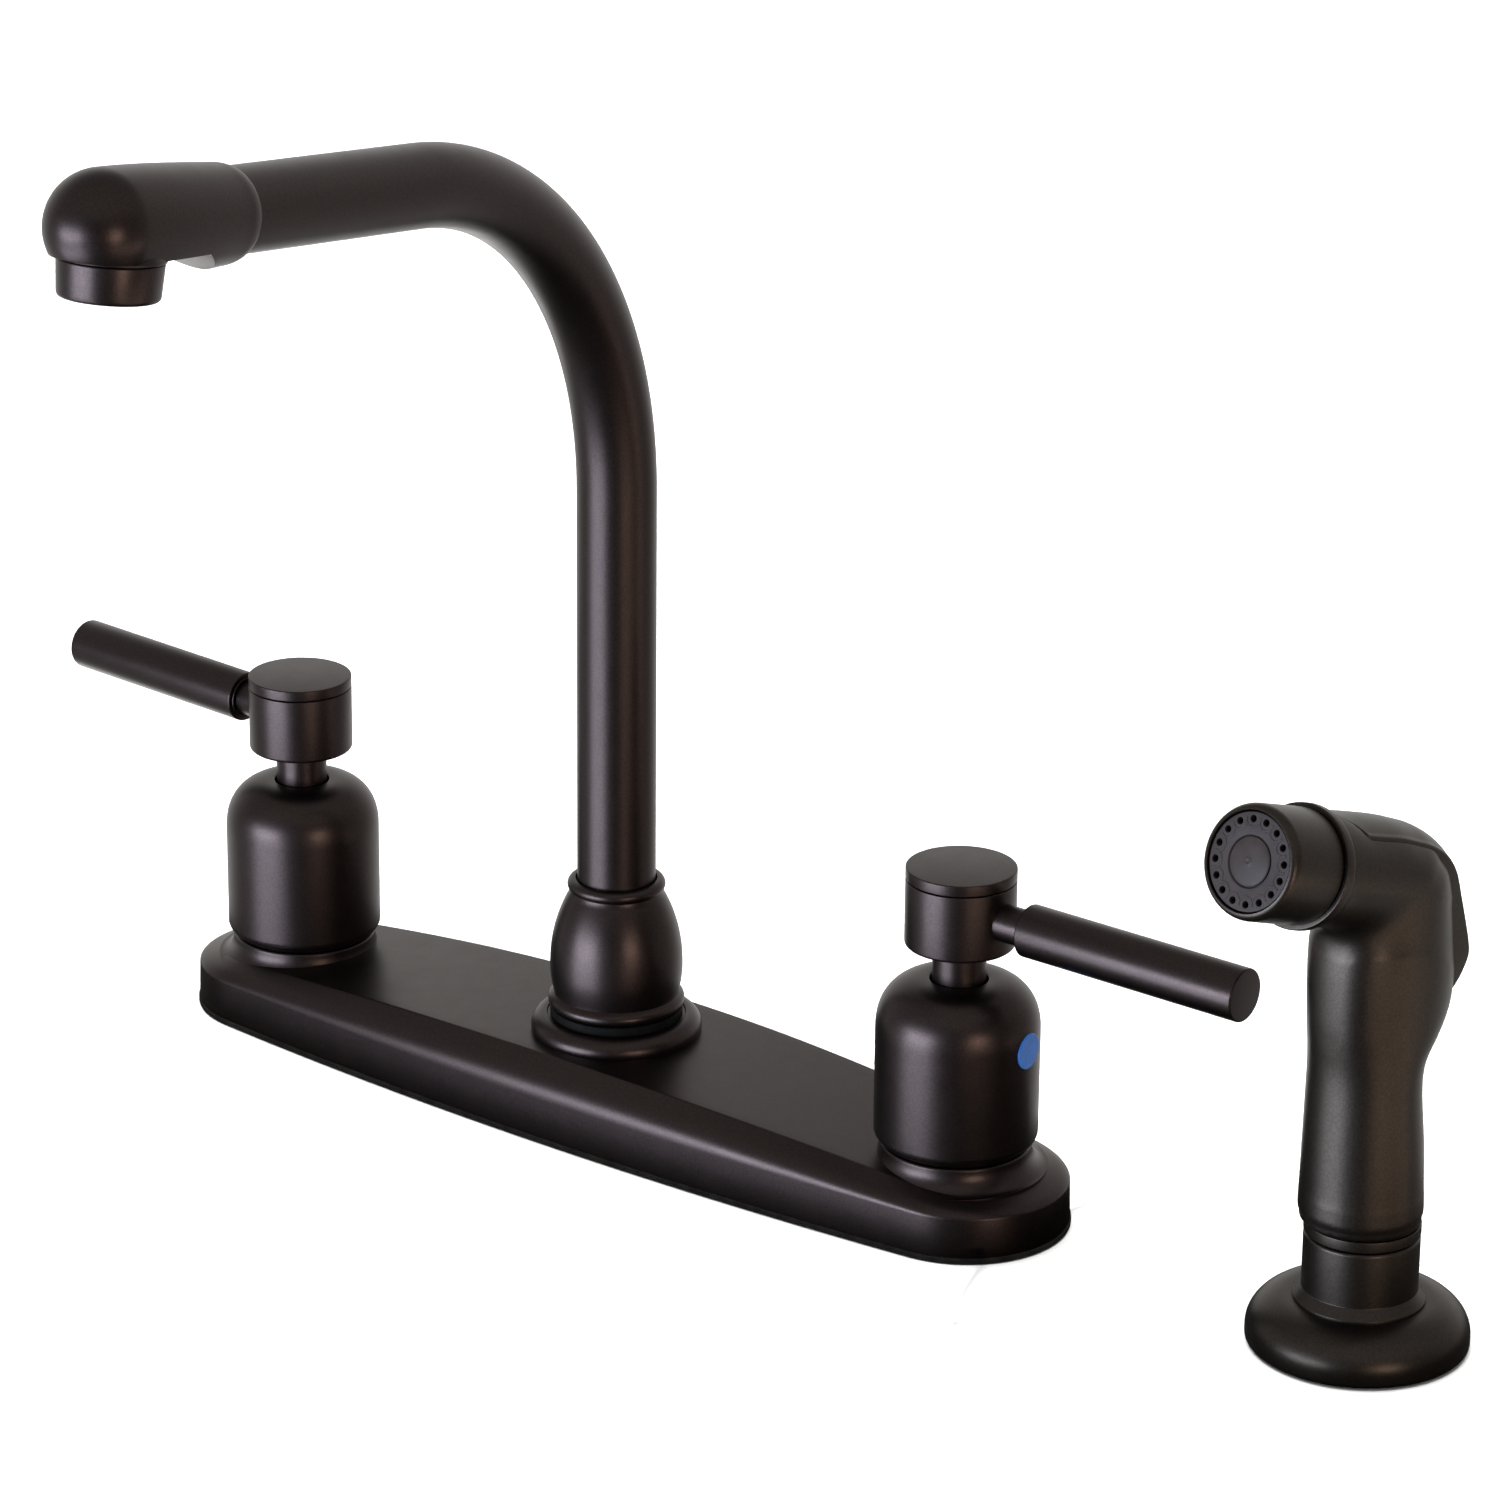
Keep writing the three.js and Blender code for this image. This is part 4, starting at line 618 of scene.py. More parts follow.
def index_disc(side):
    radius, height, back, face = 4.25, 46.5, 17.7, 19.4
    turn = SIDES[side] * rad(4)
    out = Vector((SIDES[side] * math.cos(turn), SIDES[side] * math.sin(turn), 0))
    place = at(SIDES[side] * HANDLE_X, 0) @ aimed(out, (0, 0, height))
    disc = lathe(soft([(0, back), (radius, back), (radius, face, 0.25), (0, face)]), place, 64)
    skin(f"{side}_index_disc", disc)


def handle(side):
    place = handle_place(side)
    radius, foot, seam, cap, top = HANDLE_RADIUS, 68.9, 85.15, 85.4, 88.0
    bore, neck, neck_foot = 4.3, 6.3, 52
    socket, socket_floor, spigot, spigot_foot = 9.3, 82.8, 9, 83.1
    skin(f"{side}_handle_hub", lathe(soft([
        (bore, neck_foot), (neck, neck_foot), (neck, foot), (radius, foot, 0.9),
        (radius, seam, 0.25), (socket, seam), (socket, socket_floor), (bore, socket_floor),
    ], ring=True), place, ring=True))
    skin(f"{side}_handle_cap", lathe(soft([
        (0, spigot_foot), (spigot, spigot_foot), (spigot, cap), (radius, cap, 0.2),
        (radius, top, 0.35), (0, top),
    ]), place))
    lever(side, place @ aimed((1, 0, 0), (0, 0, LEVER_HEIGHT)))


def lever(side, place):
    """The rod out of the hub and the grip over its pin, along the lever's own axis."""
    rod, rod_start, rod_end, pin, pin_end = 4.4, 6.6, 19.1, 3, 32
    skin(f"{side}_lever_rod", lathe(soft([
        (0, rod_start), (rod, rod_start), (rod, rod_end, 0.2), (pin, rod_end), (pin, pin_end),
        (0, pin_end)]), place, 72))
    grip, grip_start, tip, collar, collar_start = 6.25, 19.4, 78.4, 5.3, 18.9
    pin_hole, pin_floor, rod_hole, rod_floor = 3.3, 33.4, 4.7, 20.6
    skin(f"{side}_lever_grip", lathe(soft([
        (0, pin_floor), (pin_hole, pin_floor), (pin_hole, rod_floor), (rod_hole, rod_floor),
        (rod_hole, collar_start, 0.15), (collar, collar_start, 0.3), (collar, grip_start),
        (grip, grip_start, 0.45), (grip, tip, 0.45), (0, tip),
    ]), place, 96))


# ---------- spout ----------
def spout_nut():
    """Outside a bead, a bulb with its neck and a lip; inside the collar's and the tube's room."""
    bead, bead_round, waist, bulb, neck, top_bead = 16.6, 1.7, 15.1, 16.1, 11.1, 11.88
    bulb_z, neck_z, top, swell = 37, 56.4, 59.5, 2.2
    ring = arc(bead - bead_round, NUT_FOOT + bead_round, bead_round, -80, 60, 12)
    start = ring[-1][1]
    lower = [(waist + (bulb - waist) * math.sin(rad(90 * s)), start + (bulb_z - start) * s)
             for s in (0.06, *(i / 8 for i in range(1, 9)))]
    upper = [(neck + (bulb - neck) * (1 - s ** swell), bulb_z + (neck_z - bulb_z) * s)
             for s in (i / 16 for i in range(1, 17))]
    half = (top - neck_z) / 2
    lip = arc(top_bead - half, neck_z + half, half, -60, 90, 10)
    tube_hole, collar_room, collar_top, thread_top = 9.9, 12, 46.6, 37.6
    skin("spout_nut", lathe([
        (SPOUT_HUB_BORE, NUT_FOOT), *ring, *lower, *upper, *lip, (tube_hole, top),
        (tube_hole, collar_top), (collar_room, collar_top), (collar_room, thread_top),
        (SPOUT_HUB_BORE, thread_top)], ring=True))


def spout_base_ring():
    radius, foot = 16.1, 24.2
    skin("spout_base_ring", lathe(soft([
        (SPOUT_HUB_BORE, foot), (radius, foot), (radius, NUT_FOOT, 0.3),
        (SPOUT_HUB_BORE, NUT_FOOT)], ring=True), ring=True))


def spout_tube():
    bend_steps, sides = 72, 96
    centres = [(Vector((0, 0, TUBE_FOOT)), 90), (Vector((0, 0, BEND_START)), 90)]
    for i in range(1, bend_steps + 1):
        turn = rad(90 - ARM_RISE) * i / bend_steps
        centre = Vector((0, -BEND_RADIUS * (1 - math.cos(turn)),
                         BEND_START + BEND_RADIUS * math.sin(turn)))
        centres.append((centre, 90 - math.degrees(turn)))
    centres.append((arm_point(HEAD_START + TUBE_OVERLAP), ARM_RISE))

    def rings(radius):
        found = []
        for centre, rise in centres:
            up = Vector((0, math.sin(rad(rise)), math.cos(rad(rise))))
            found.append([centre + radius * (math.cos(a) * Vector((1, 0, 0)) + math.sin(a) * up)
                          for a in (2 * math.pi * k / sides for k in range(sides))])
        return found

    shell = loft([*rings(TUBE_RADIUS), *reversed(rings(TUBE_RADIUS - TUBE_WALL))], looped=True)
    skin("spout_tube", shell.placed(SPOUT), sharp=40)


def spout_head():
    end_round, end_radius, front = 4.4, 9.75, DOME_CENTRE - HEAD_START
    shoulder = [(end_radius + (HEAD_NECK - end_radius) * math.sin(a),
                 HEAD_START + end_round * (1 - math.cos(a)))
                for a in (rad(90 * i / 10) for i in range(11))]
    swell = [(HEAD_NECK + (DOME_RADIUS - HEAD_NECK) * math.sin(rad(90 * s)),
              HEAD_START + end_round + (front - end_round) * s)
             for s in (i / 16 for i in range(1, 16))]
    dome = [(DOME_RADIUS * math.cos(a), DOME_CENTRE + DOME_RADIUS * math.sin(a))
            for a in (rad(90 * i / 32) for i in range(32))]
    shell = lathe([(0, HEAD_START), *shoulder, *swell, *dome, (0, DOME_CENTRE + DOME_RADIUS)],
                  aimed(ARM_ALONG, ARM_START), 160)
    for p in shell.points:
        share = max(1 - (p - arm_point(HEAD_START)).dot(ARM_ALONG) / front, 0)
        p += HEAD_SAG * share * ARM_BELOW
    obj = shell.placed(SPOUT).object("spout_head")
    far, socket, socket_depth, bore = 20, 9.6, 10, 9.4
    flat_end = OUTLET_CENTRE - RELIEF_END
    slant_end = flat_end - (far - OUTLET_FACE) * math.tan(rad(RELIEF_SLOPE))
    relief = [arm_point(*p) for p in (
        (flat_end, OUTLET_FACE), (slant_end, far), (DOME_CENTRE + 2 * far, far),
        (DOME_CENTRE + 2 * far, OUTLET_FACE))]
    cut(obj, prism([(p.y, p.z) for p in relief], far).placed(SPOUT))
    cut(obj, lathe([(0, -5), (socket, -5), (socket, socket_depth), (0, socket_depth)],
                   ON_ARM @ at(0, 0, HEAD_START), 96))
    cut(obj, lathe([(0, 0), (bore, 0), (bore, far), (0, far)], ON_OUTLET, 96))
    applied(obj, "BEVEL", width=0.25 * MM, segments=2, limit_method="ANGLE", angle_limit=rad(35))
    lip_root, lip_end = OUTLET_FACE - 2, OUTLET_FACE + 0.65
    lip = lathe(soft([(bore, lip_root), (11.0, lip_root), (11.75, OUTLET_FACE + 0.1),
                      (11.65, lip_end, 0.25), (bore, lip_end)], ring=True),
                ON_OUTLET, 120, ring=True)
    join([obj, lip.object("lip")])
    stands_for("spout_head", obj, sharp=28)


def aerator_housing():
    top, rim, foot = OUTLET_FACE + 0.8, 11.35, 10.85
    spigot, spigot_start, end = 9.3, top - 3.6, top + 8.1
    bore, mouth, ledge = 8.6, 7.6, top + 7.1
    skin("aerator_housing", lathe(soft([
        (bore, spigot_start), (spigot, spigot_start), (spigot, top), (rim, top, 0.35),
        (foot, end, 1.3), (mouth, end, 0.4), (mouth, ledge), (bore, ledge),
    ], ring=True), ON_OUTLET, ring=True))


def aerator_insert():
    """The screen's holder, with round ribs on its face."""
    radius, face, depth, rib_half, rib_rise = 8.2, OUTLET_FACE + 7.5, 5.4, 0.35, 0.35
    root = face - 0.2
    screen = lathe(soft([
        (0, face - depth), (radius, face - depth), (radius, face, 0.3), (0, face)]), ON_OUTLET, 72)
    ribs = []
    for middle in (1.6, 3.6, 5.6):
        inside, outside, crest = middle - rib_half, middle + rib_half, face + rib_rise
        ribs.append(lathe(soft([
            (inside, root), (inside, crest, 0.1), (outside, crest, 0.1), (outside, root)],
            ring=True), ON_OUTLET, 72, ring=True))
    skin("aerator_insert", screen, *ribs)


# ---------- side sprayer: what is fixed to the deck ----------
SPRAYER = at(SPRAYER_X, SPRAYER_Y)
HOLDER_FOOT = 14.9  # radius of the holder's flare on the flange


def sprayer_flange():
    widest, edge, top = 3, 1.3, FLANGE_TOP
    hollow, hollow_end, hole, hole_foot, rim = 20.2, 16.9, 13.9, 8, 15.4
    rise, run = top - widest, FLANGE_RADIUS - HOLDER_FOOT - 1
    dome = [(FLANGE_RADIUS - run * (1 - math.cos(a)), widest + rise * math.sin(a))
            for a in (rad(85 * i / 22) for i in range(23))]
    skin("sprayer_flange", lathe([
        (hollow, 0), *arc(FLANGE_RADIUS - edge, edge, edge, -90, -4, 8), *dome, (rim, top),
        (hole, top), (hole, hole_foot), (hollow_end, hole_foot), (hollow, widest)],
        SPRAYER, ring=True))


def sprayer_holder():
    """A shank down through the deck, and a cup above the flange."""
    bore, shank, cup, end, flare_top, top = 11.3, 13.6, 13.05, -34, 13.8, 27.0
    skin("sprayer_holder", lathe(soft([
        (bore, end), (shank, end, 0.5), (shank, FLANGE_TOP), (HOLDER_FOOT, FLANGE_TOP),
        (HOLDER_FOOT, FLANGE_TOP + 0.5, 0.3), (cup, flare_top, 0.4), (cup, top, 0.9),
        (bore, top, 0.3)], ring=True), SPRAYER, ring=True))


def sprayer_coupling():
    """A hose end with a collar, and a spigot that goes up into the handset."""
    bore, tail, collar, spigot = 3.6, 10.8, 13.1, 8
    foot, collar_foot, collar_top, top = 6, 27.3, 30.0, 42
    skin("sprayer_coupling", lathe(soft([
        (bore, foot), (tail, foot, 0.8), (tail, collar_foot), (collar, collar_foot, 0.35),
        (collar, collar_top, 0.25), (spigot, collar_top), (spigot, top, 0.5), (bore, top)],
        ring=True), SPRAYER, 96, ring=True))


# ---------- side sprayer: the handset ----------
HANDLE_SECTIONS = [  # share of the way up to the nozzle's height, half width, front, back
    (0.035, 14.0, -15.0, 12.9), (0.1852, 13.6, -14.8, 12.2), (0.391, 12.9, -14.6, 11.2),
    (0.4578, 13.0, -15.2, 16.9), (0.5144, 13.1, -15.7, 20.4), (0.5936, 13.4, -16.0, 21.1),
    (0.6739, 13.4, -16.0, 20.3), (0.7654, 13.2, -15.0, 19.0), (0.8128, 13.0, -13, 17.6),
    (0.8436, 12.6, -9, 16.2), (0.875, 11.5, -6, 13.6), (0.90, 9, -3, 10),
]
FOOT_SECTIONS = [  # the foot's rounded edge and a faint step, below the first of those
    (0, 12.9, -13.6, 12.2), (0.006, 13.6, -14.5, 12.5), (0.024, 13.7, -14.6, 12.6),
    (0.028, 13.9, -14.8, 12.8),
]


def handle_ring(share, half, front, back):
    """An oval section, squarer in front where the handle swells."""
    sides, swell_start, swell_span, most_square = 96, 0.38, 0.12, 0.15
    height = HANDSET_FOOT + (NOZZLE_HEIGHT - HANDSET_FOOT) * share
    middle, depth = (front + back) / 2, (back - front) / 2
    square = most_square * min(max((share - swell_start) / swell_span, 0), 1)
    ring = []
    for a in (2 * math.pi * i / sides for i in range(sides)):
        power = 1 - square if math.sin(a) < 0 else 1
        x, y = (math.copysign(abs(v) ** power, v) for v in (math.cos(a), math.sin(a)))
        ring.append(Vector((half * x, middle + depth * y, height)))
    return ring


def handset_handle():
    """The handle, its shares stretched so that a curve's steps follow the height."""
    stretch = 100
    tall = [(stretch * share, *rest) for share, *rest in HANDLE_SECTIONS]
    sections = [(row[0] / stretch, *row[1:]) for row in through(tall, 8)]
    return loft([handle_ring(*row) for row in [*FOOT_SECTIONS, *sections]])


def handset_barrel():
    start, end = 8, BARREL_END + BARREL_RADIUS
    neck = [(0, start), (NECK_RADIUS, start), (NECK_RADIUS, LIP_START), (BARREL_RADIUS, LIP_START)]
    back = [(BARREL_RADIUS * math.cos(a), BARREL_END + BARREL_RADIUS * math.sin(a))
            for a in (rad(90 * i / 24) for i in range(24))]
    return lathe([*neck, *back, (0, end)], HANDSET.inverted() @ NOZZLE)


def handset_body():
    """Handle and barrel fused and rounded off, less the room that the trigger needs."""
    voxel, foot_top, handle_rounds, throat_rounds, over_travel = 0.6, 38, 36, 150, 0.5
    obj = (handset_handle() + handset_barrel()).object("sprayer_body")
    applied(obj, "REMESH", mode="VOXEL", voxel_size=voxel * MM)
    lower_to_crest(obj)
    smoothed(obj, handle_rounds, lambda p: p.z > foot_top)
    smoothed(obj, throat_rounds, under_barrel)
    cut(obj, trigger_shell(grown=TRIGGER_SEAM, raised=6))
    pivot = at(0, TRIGGER_PIVOT_Y, TRIGGER_PIVOT_Z)
    for share in (0.3, 0.65, 1):
        press = turned(-share * (TRIGGER_TRAVEL + over_travel), "X")
        pressed = trigger_shell(grown=TRIGGER_SEAM).placed(pivot @ press @ pivot.inverted())
        cut(obj, pressed)
    obj.data.transform(Matrix.Scale(MM, 4) @ HANDSET @ Matrix.Scale(1 / MM, 4))
    join([obj, nozzle_lip().object("lip")])
    stands_for("sprayer_body", obj, sharp=45)


def under_barrel(p):
    """Whether a point lies where the barrel's underside runs into the handle."""
    reach, least_drop = 6.5, 2
    from_axis = p - Vector((0, -NOZZLE_REACH, NOZZLE_HEIGHT))
    along = from_axis.dot(NOZZLE_BACK)
    away = from_axis - along * NOZZLE_BACK
    near = abs(away.length - BARREL_RADIUS) < reach
    return LIP_START + 5 < along and away.z < -least_drop and near


def smoothed(obj, rounds, chosen):
    """Rounds off the joins of the fused skin at the chosen points."""
    work = bmesh.new()
    work.from_mesh(obj.data)
    some = [v for v in work.verts if chosen(v.co / MM)]
    for _ in range(rounds):
        bmesh.ops.smooth_vert(work, verts=some, factor=0.5, use_axis_x=True, use_axis_y=True,
                              use_axis_z=True)
    work.to_mesh(obj.data)
    work.free()


def below_nozzle(outline):
    return [(y, NOZZLE_HEIGHT - below) for y, below in outline]


# Crest and inner curve of the trigger, as places forward or back and below the nozzle's height.
TRIGGER_CREST = below_nozzle([
    (-20.4, -5.4), (-16.6, -4.0), (-8.8, -1.5), (-2.0, 0.8), (3.4, 3.0), (8.5, 5.4),
    (13.2, 8.8), (17.0, 13.5), (19.7, 20.1), (21.9, 26.5), (23.8, 32.9), (24.2, 36.7),
    (22.2, 40.8), (19.5, 44.2)])
TRIGGER_INNER = below_nozzle([
    (-20.2, -4.0), (-16.8, 0), (-12.6, 8.6), (-7.4, 8.6), (-1.0, 11.0), (1.4, 20.8),
    (8.8, 20.8), (10.2, 24.8), (11.0, 28.4), (11.8, 32.8), (12.4, 36.4), (12.8, 39.0),
    (13.2, 41.4), (13.8, 43.5)])
TRIGGER_HALF = 9.0
TRIGGER_NOSE_HALF = 1.4
TRIGGER_NOSE_Y = -20.4
TRIGGER_SHOULDER_Y = -14.6
CREST_ROUND = 13.4
TRIGGER_SEAM = 0.3
TRIGGER_PIVOT_Y = -10
TRIGGER_PIVOT_Z = NOZZLE_HEIGHT - 6.2
TRIGGER_TRAVEL = 5  # degrees


def trigger_half_at(y):
    share = (y - TRIGGER_NOSE_Y) / (TRIGGER_SHOULDER_Y - TRIGGER_NOSE_Y)
    return TRIGGER_NOSE_HALF + (TRIGGER_HALF - TRIGGER_NOSE_HALF) * min(max(share, 0), 1)


def crest_drop(x):
    """How far the crest's rounding is below its middle, so far to the side."""
    return CREST_ROUND - math.sqrt(CREST_ROUND ** 2 - x ** 2)


def trigger_shell(grown=0.0, raised=0.0):
    """The trigger, grown for its seam, or with its crest raised to cut through what is over it."""
    rows = [(*crest, *inner) for crest, inner in zip(TRIGGER_CREST, TRIGGER_INNER)]
    slant, least_depth, edge_round = 1.6, 0.9, 0.9
    rings = []
    for y, z, inner_y, inner_z in through(rows, 6):
        half = trigger_half_at(y + slant * grown) + grown
        inward = Vector((0, inner_y - y, inner_z - z))
        reach = inward.length + raised
        inward.normalize()
        crest = Vector((0, y, z)) - raised * inward
        edge = min(edge_round, 0.3 * half)
        flat = half - edge
        rim = [(x, min(crest_drop(x), reach - least_depth))
               for x in (flat * (i / 12 - 1) for i in range(25))]
        side_drop = rim[-1][1]
        corner = [(flat + edge * math.sin(a), side_drop + edge * (1 - math.cos(a)))
                  for a in (rad(90 * k / 3) for k in (1, 2, 3))]
        rim += corner
        ring = [crest + drop * inward + Vector((x, 0, 0)) for x, drop in rim]
        ring += [Vector((x, inner_y, inner_z)) + grown * inward for x in (half, -half)]
        ring += [crest + drop * inward - Vector((x, 0, 0)) for x, drop in reversed(corner)]
        rings.append(ring)
    return loft(rings)


def lower_to_crest(obj):
    """Moves whatever stands outside the crest's rounded surface onto it."""
    widest = 13.2  # just inside the crest's own radius
    rows = [(*crest, *inner) for crest, inner in zip(TRIGGER_CREST[1:], TRIGGER_INNER[1:])]
    lines = [(Vector((y, z)), Vector((inner_y - y, inner_z - z)).normalized())
             for y, z, inner_y, inner_z in through(rows, 6)]
    first, last = lines[0][0], lines[-1][0]
    for vertex in obj.data.vertices:
        x, y, z = vertex.co / MM
        if y < first.x or z < last.y:
            continue
        here = Vector((y, z))
        crest, inward = min(lines, key=lambda line: abs((here - line[0]).cross(line[1])))
        outside = crest_drop(min(abs(x), widest)) - (here - crest).dot(inward)
        if outside > 0:
            here += outside * inward
            vertex.co = Vector((x, here.x, here.y)) * MM


def spray_cap():
    bore, face, edge, edge_start, edge_depth = 11.05, 0.15, 12.7, 11.2, 2.3
    radius, end, hollow, step = 12.8, 16.6, 11.8, 2
    front = [(edge_start + (edge - edge_start) * math.sin(a), edge_depth * (1 - math.cos(a)))
             for a in (rad(90 * i / 12) for i in range(13))]
    skin("spray_cap", lathe([(bore, face), *front, *soft([
        (edge, edge_depth), (radius, end, 0.3), (hollow, end), (hollow, step), (bore, step)])[1:]],
        NOZZLE, ring=True))


def nozzle_lip():
    radius, root, width = 13.8, 12.6, 3.0
    return lathe(soft([
        (NECK_RADIUS, LIP_START), (radius, LIP_START, 0.45), (radius, LIP_START + 2.6, 0.9),
        (root, LIP_START + width), (NECK_RADIUS, LIP_START + width)], ring=True),
        NOZZLE, around=160, ring=True)


FACE_RECESS = 0.5  # of the spray plate, behind the cap's front
HOLE_CIRCLE = 9.16
FACE_DISC = 5.36


def spray_face():
    """A plate with a ring of spray holes, a scallop round each, and a low disc in the middle."""
    radius, thickness, hole, hole_depth, holes = 10.75, 3.4, 0.85, 2.2, 16
    back, groove = FACE_RECESS + thickness, FACE_RECESS + 0.55
    obj = lathe(soft([
        (0, groove), (FACE_DISC + 0.1, groove), (FACE_DISC + 0.45, FACE_RECESS, 0.1),
        (radius, FACE_RECESS, 0.25), (radius, back), (0, back)]), NOZZLE).object("spray_face")
    angles = [2 * math.pi * (i + 0.5) / holes for i in range(holes)]
    front, end = FACE_RECESS - 1, FACE_RECESS + hole_depth
    drill = [(0, front), (hole, front), (hole, end), (0, end)]
    drills = [lathe(drill, NOZZLE @ at(HOLE_CIRCLE * math.cos(a), HOLE_CIRCLE * math.sin(a)), 24)
              for a in angles]
    cut(obj, sum(drills, Shell()))
    scallops = sum((scallop(a) for a in angles), Shell())
    join([obj, (scallops + face_disc()).object("face_detail")])
    stands_for("spray_face", obj, sharp=40)


def face_disc():
    """A shallow dome with a tiny ring round its middle."""
    rise, edge_depth, pip, foot = 0.5, 0.2, 0.12, FACE_RECESS + 0.8
    top = FACE_RECESS - rise
    dome = [(FACE_DISC * math.sin(t),
             FACE_RECESS + edge_depth - (edge_depth + rise - 0.02) * math.cos(t))
            for t in (rad(12 + 72 * i / 16) for i in range(17))]
    return lathe([(0, top), (0.35, top), (0.5, top - pip), (0.75, top - pip), (0.95, top + 0.02),
                  *dome, (FACE_DISC, foot), (0, foot)], NOZZLE, 96)


def scallop(angle):
    """A low ridge round the inner side of a hole."""
    reach, thick, half_turn, steps, sides = 1.75, 0.2, 100, 16, 8
    low = 0.8 * Vector((0, 0, 1))
    rings = []
    for i in range(steps + 1):
        turn = angle + math.pi + rad(-half_turn + 2 * half_turn * i / steps)
        centre = Vector((HOLE_CIRCLE * math.cos(angle) + reach * math.cos(turn),
                         HOLE_CIRCLE * math.sin(angle) + reach * math.sin(turn), FACE_RECESS))
        outward = Vector((math.cos(turn), math.sin(turn), 0))
        rings.append([centre + thick * (math.cos(a) * outward + math.sin(a) * low)
                      for a in (2 * math.pi * k / sides for k in range(sides))])
    return loft(rings).placed(NOZZLE)


def join(objects):
    """Several objects' meshes in the first one."""
    work = bmesh.new()
    for obj in objects:
        work.from_mesh(obj.data)
    work.to_mesh(objects[0].data)
    work.free()
    for obj in objects[1:]:
        bpy.data.objects.remove(obj)


def trigger():
    skin("sprayer_trigger", trigger_shell().placed(HANDSET), sharp=38)


# ---------- pieces that stay as they are ----------
def finish_cad_nodes():
    """Gives the nodes that no skin stands for their materials."""
    for node, obj in frame["nodes"].items():
        if obj.hide_render:
            continue
        obj.data.materials.clear()
        obj.data.materials.append(LOOKS[SLOT[node]].material)


# ---------- stage, lights and camera ----------
CAMERA = Vector((816.27, -1012.62, 586.45)) * MM
CAMERA_AZIMUTH = 38.99
CAMERA_PITCH = 20.81
FOCAL_PIXELS = 5817.9
AXIS_PIXEL = 605.4
FRAME_PIXELS = 1500
SENSOR = 36


def camera():
    """The photograph's camera, whose optical axis meets the frame off centre, at AXIS_PIXEL."""
    data = bpy.data.cameras.new("camera")
    data.sensor_width = SENSOR
    data.lens = FOCAL_PIXELS / FRAME_PIXELS * SENSOR
    data.shift_x = (FRAME_PIXELS / 2 - AXIS_PIXEL) / FRAME_PIXELS
    data.clip_start, data.clip_end = 0.05, 50
    obj = bpy.data.objects.new("camera", data)
    scene.collection.objects.link(obj)
    obj.location = CAMERA
    obj.rotation_euler = (rad(90 - CAMERA_PITCH), 0, rad(CAMERA_AZIMUTH))
    scene.camera = obj


def floor():
    half, height = 6000, -0.3
    corners = [(-half, -half), (half, -half), (half, half), (-half, half)]
    plane = Shell([Vector((x, y, height)) for x, y in corners], [(0, 1, 2, 3)]).object("floor")
    look = Look("pale_floor", metallic=0.0, Specular_IOR_Level=0.2)
    look.colour((0.86, 0.86, 0.86), (0.88, 0.88, 0.88), scale_mm=300)
    look.roughness(0.6, 0.7, scale_mm=200)
    plane.data.materials.append(look.material)
    plane.visible_glossy = False
    plane.visible_shadow = False


def softbox(name, azimuth, elevation, distance, size, power, colour):
    """A rectangular light aimed at the faucet, from so many degrees left (+) of the camera."""
    target = Vector((20, 0, 90)) * MM
    turn = rad(CAMERA_AZIMUTH - azimuth)
    out = Vector((math.sin(turn) * math.cos(rad(elevation)),
                  -math.cos(turn) * math.cos(rad(elevation)), math.sin(rad(elevation))))
    data = bpy.data.lights.new(name, "AREA")
    data.shape = "RECTANGLE"
    data.size, data.size_y = size
    data.energy = power
    data.color = colour
    obj = bpy.data.objects.new(name, data)
    scene.collection.objects.link(obj)
    obj.location = target + out * distance
    obj.rotation_euler = (-out).to_track_quat("-Z", "Y").to_euler()
    return obj


def grey_ramp(nodes, links, value, stops):
    """Greys along a value from -1 to 1, as (value, grey) stops."""
    spread = nodes.new("ShaderNodeMapRange")
    spread.inputs["From Min"].default_value = -1
    links.new(value, spread.inputs["Value"])
    ramp = nodes.new("ShaderNodeValToRGB")
    elements = ramp.color_ramp.elements
    for i, (where, grey) in enumerate(stops):
        element = elements[i] if i < 2 else elements.new(1)
        element.position = (where + 1) / 2
        element.color = (grey, grey, 0.97 * grey, 1)
    links.new(spread.outputs["Result"], ramp.inputs["Fac"])
    return ramp.outputs["Color"]


def world():
    """A pale room behind the faucet and a dim one in front of it, under an even ceiling."""
    made = bpy.data.worlds.new("room")
    scene.world = made
    made.use_nodes = True
    nodes, links = made.node_tree.nodes, made.node_tree.links
    place = nodes.new("ShaderNodeTexCoord")
    back = rad(CAMERA_AZIMUTH)
    away = nodes.new("ShaderNodeVectorMath")
    away.operation = "DOT_PRODUCT"
    away.inputs[1].default_value = (-math.sin(back), math.cos(back), 0)
    links.new(place.outputs["Generated"], away.inputs[0])
    split = nodes.new("ShaderNodeSeparateXYZ")
    links.new(place.outputs["Generated"], split.inputs["Vector"])
    round_about = grey_ramp(nodes, links, away.outputs["Value"],
                            [(-0.6, 0.11), (-0.2, 0.30), (0.3, 0.42), (0.95, 1.0)])
    ceiling = grey_ramp(nodes, links, split.outputs["Z"], [(0.36, 0), (0.6, 1)])
    ground = grey_ramp(nodes, links, split.outputs["Z"], [(-0.98, 1), (-0.75, 0)])
    dim = grey_ramp(nodes, links, away.outputs["Value"], [(-1, 0.04), (1, 0.06)])
    under = mixed(nodes, links, ground, round_about, dim)
    above = grey_ramp(nodes, links, away.outputs["Value"], [(-0.7, 0.50), (0.7, 0.34)])
    over = mixed(nodes, links, ceiling, under, above)
    links.new(over, nodes["Background"].inputs["Color"])


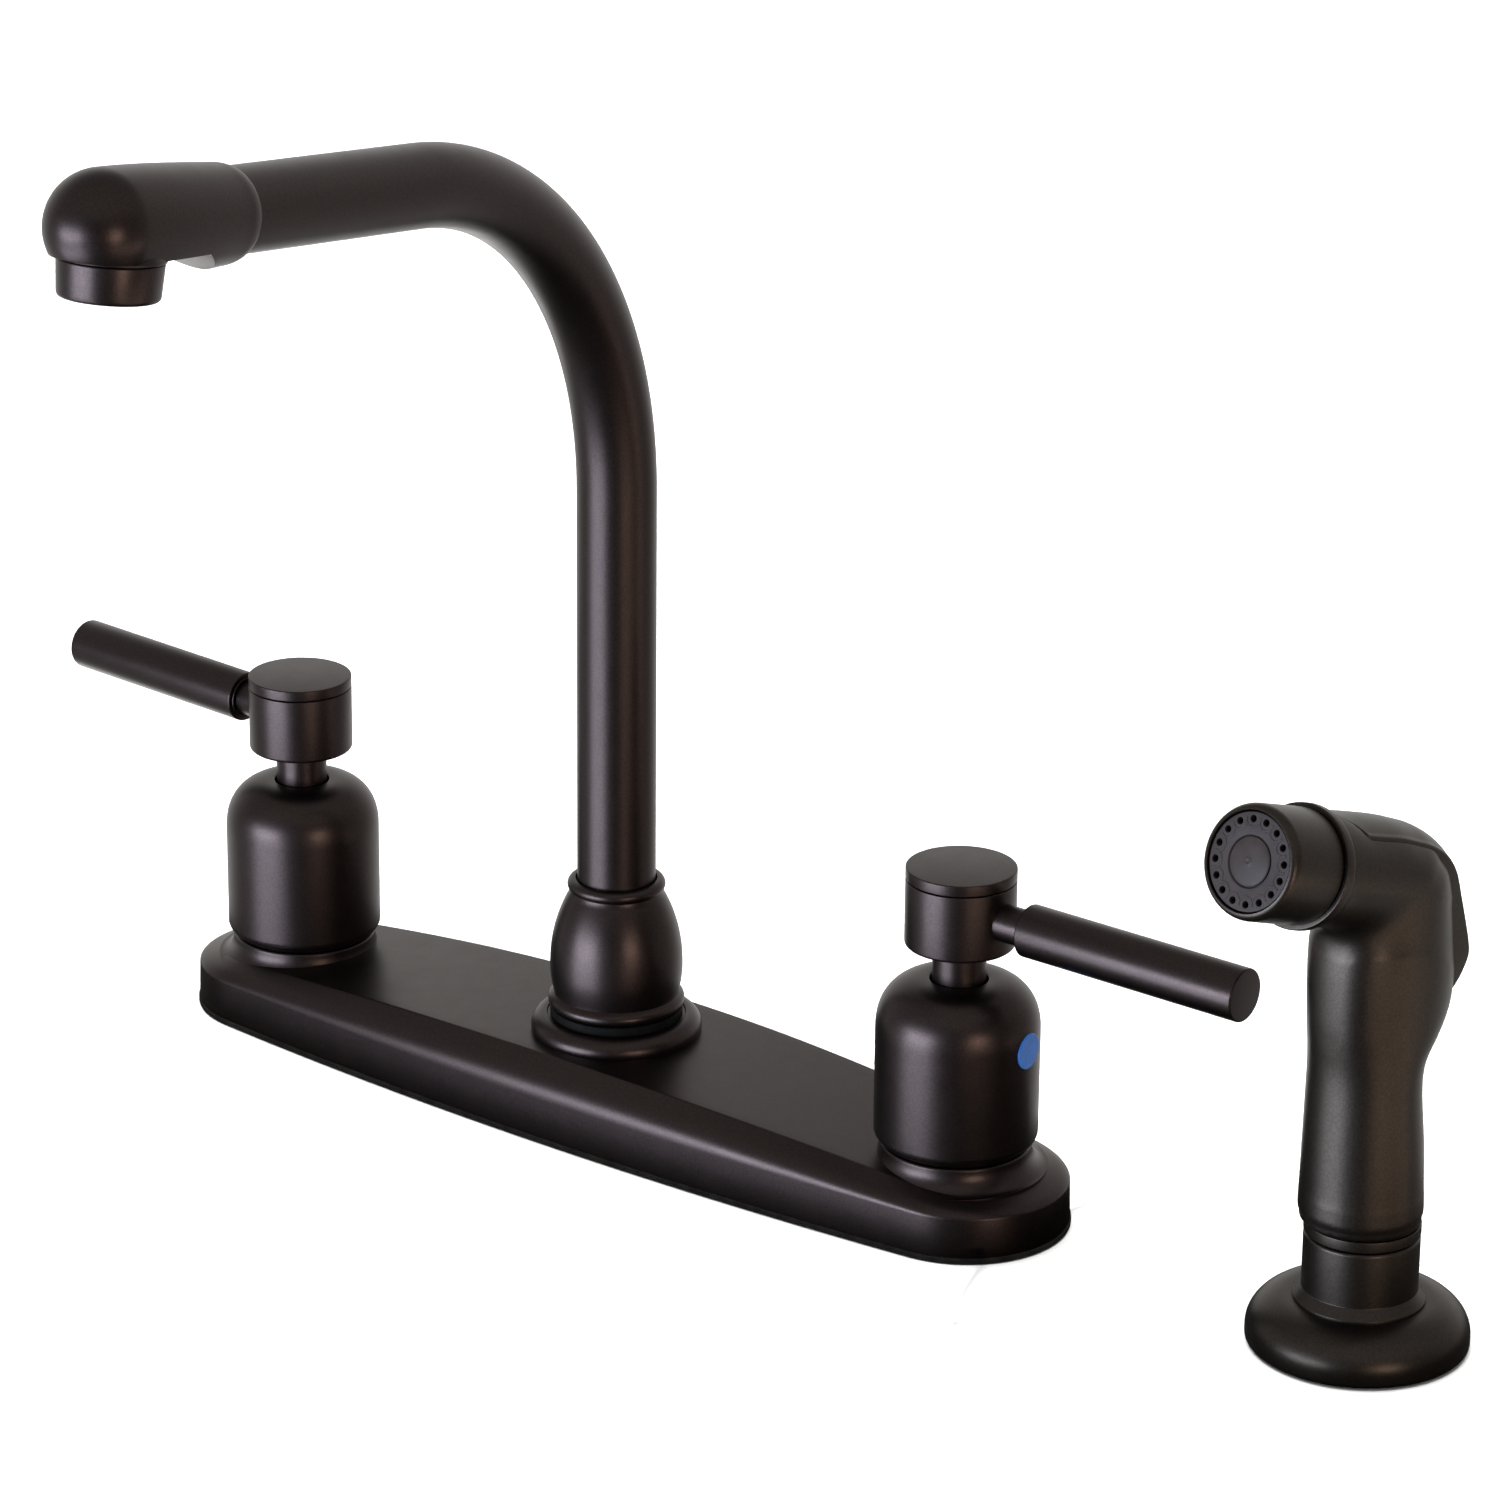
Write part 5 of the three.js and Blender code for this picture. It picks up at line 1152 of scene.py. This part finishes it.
def mixed(nodes, links, share, first, second):
    mix = nodes.new("ShaderNodeMix")
    mix.data_type = "RGBA"
    links.new(share, mix.inputs["Factor"])
    links.new(first, mix.inputs["A"])
    links.new(second, mix.inputs["B"])
    return mix.outputs["Result"]


def painted_shade_tray():
    """A dark tray with its bottom just under the floor, seen only in reflections; it blocks the
    low lamps, and its dark colour is painted shade for the faucet's lowest parts to reflect.
    """
    margin, sprayer_margin, depth, rim = 30, 65, -0.6, 4
    low, high = (plate_ring(-margin, lambda x, z=z: z) for z in (depth, rim))
    count = len(low)
    ring = Shell(low + high, flat_ends(0, count)
                 + strip(list(range(count)), list(range(count, 2 * count))))
    reach = FLANGE_RADIUS + sprayer_margin
    disc = lathe([(0, depth), (reach, depth), (reach, rim)], SPRAYER)
    card = (ring + disc).object("painted_shade_tray")
    # painted shade: the dark colour that the plate's wall and the sprayer's foot reflect in place
    # of the pale floor
    look = Look("painted_shade_card", metallic=0.0, Specular_IOR_Level=0.0)
    look.colour((0.035, 0.033, 0.031), (0.045, 0.042, 0.040), scale_mm=20)
    card.data.materials.append(look.material)
    card.visible_camera = False
    card.visible_diffuse = False


def lights():
    """Cool light from the left, warm from the right, one under the head's slant, one overhead."""
    cool, warm, white = (0.72, 0.84, 1.0), (1.0, 0.82, 0.66), (1.0, 1.0, 1.0)
    softbox("key", 56, -1, 2.0, (1.45, 0.55), 33, cool)
    softbox("key_glow", 57, -20, 0.95, (0.72, 0.32), 4.7, cool)
    softbox("fill", -25, 2, 2.0, (0.60, 0.50), 6.0, warm)
    softbox("fill_glow", -46, -20, 0.95, (1.25, 0.30), 1.25, warm)
    softbox("under_glow", 161, -41, 2.0, (1.2, 1.0), 4.6, white)
    softbox("top", 150, 80, 1.8, (2.2, 2.2), 110, white).visible_glossy = False
    scene.view_settings.view_transform = "Standard"


# ---------- the whole faucet ----------
camera()
deck_plate()
deck_gasket()
for side in SIDES:
    bell(side)
    index_disc(side)
    handle(side)
spout_nut()
spout_base_ring()
spout_tube()
spout_head()
aerator_housing()
aerator_insert()
sprayer_flange()
sprayer_holder()
sprayer_coupling()
handset_body()
spray_cap()
spray_face()
trigger()
finish_cad_nodes()
floor()
painted_shade_tray()
world()
lights()
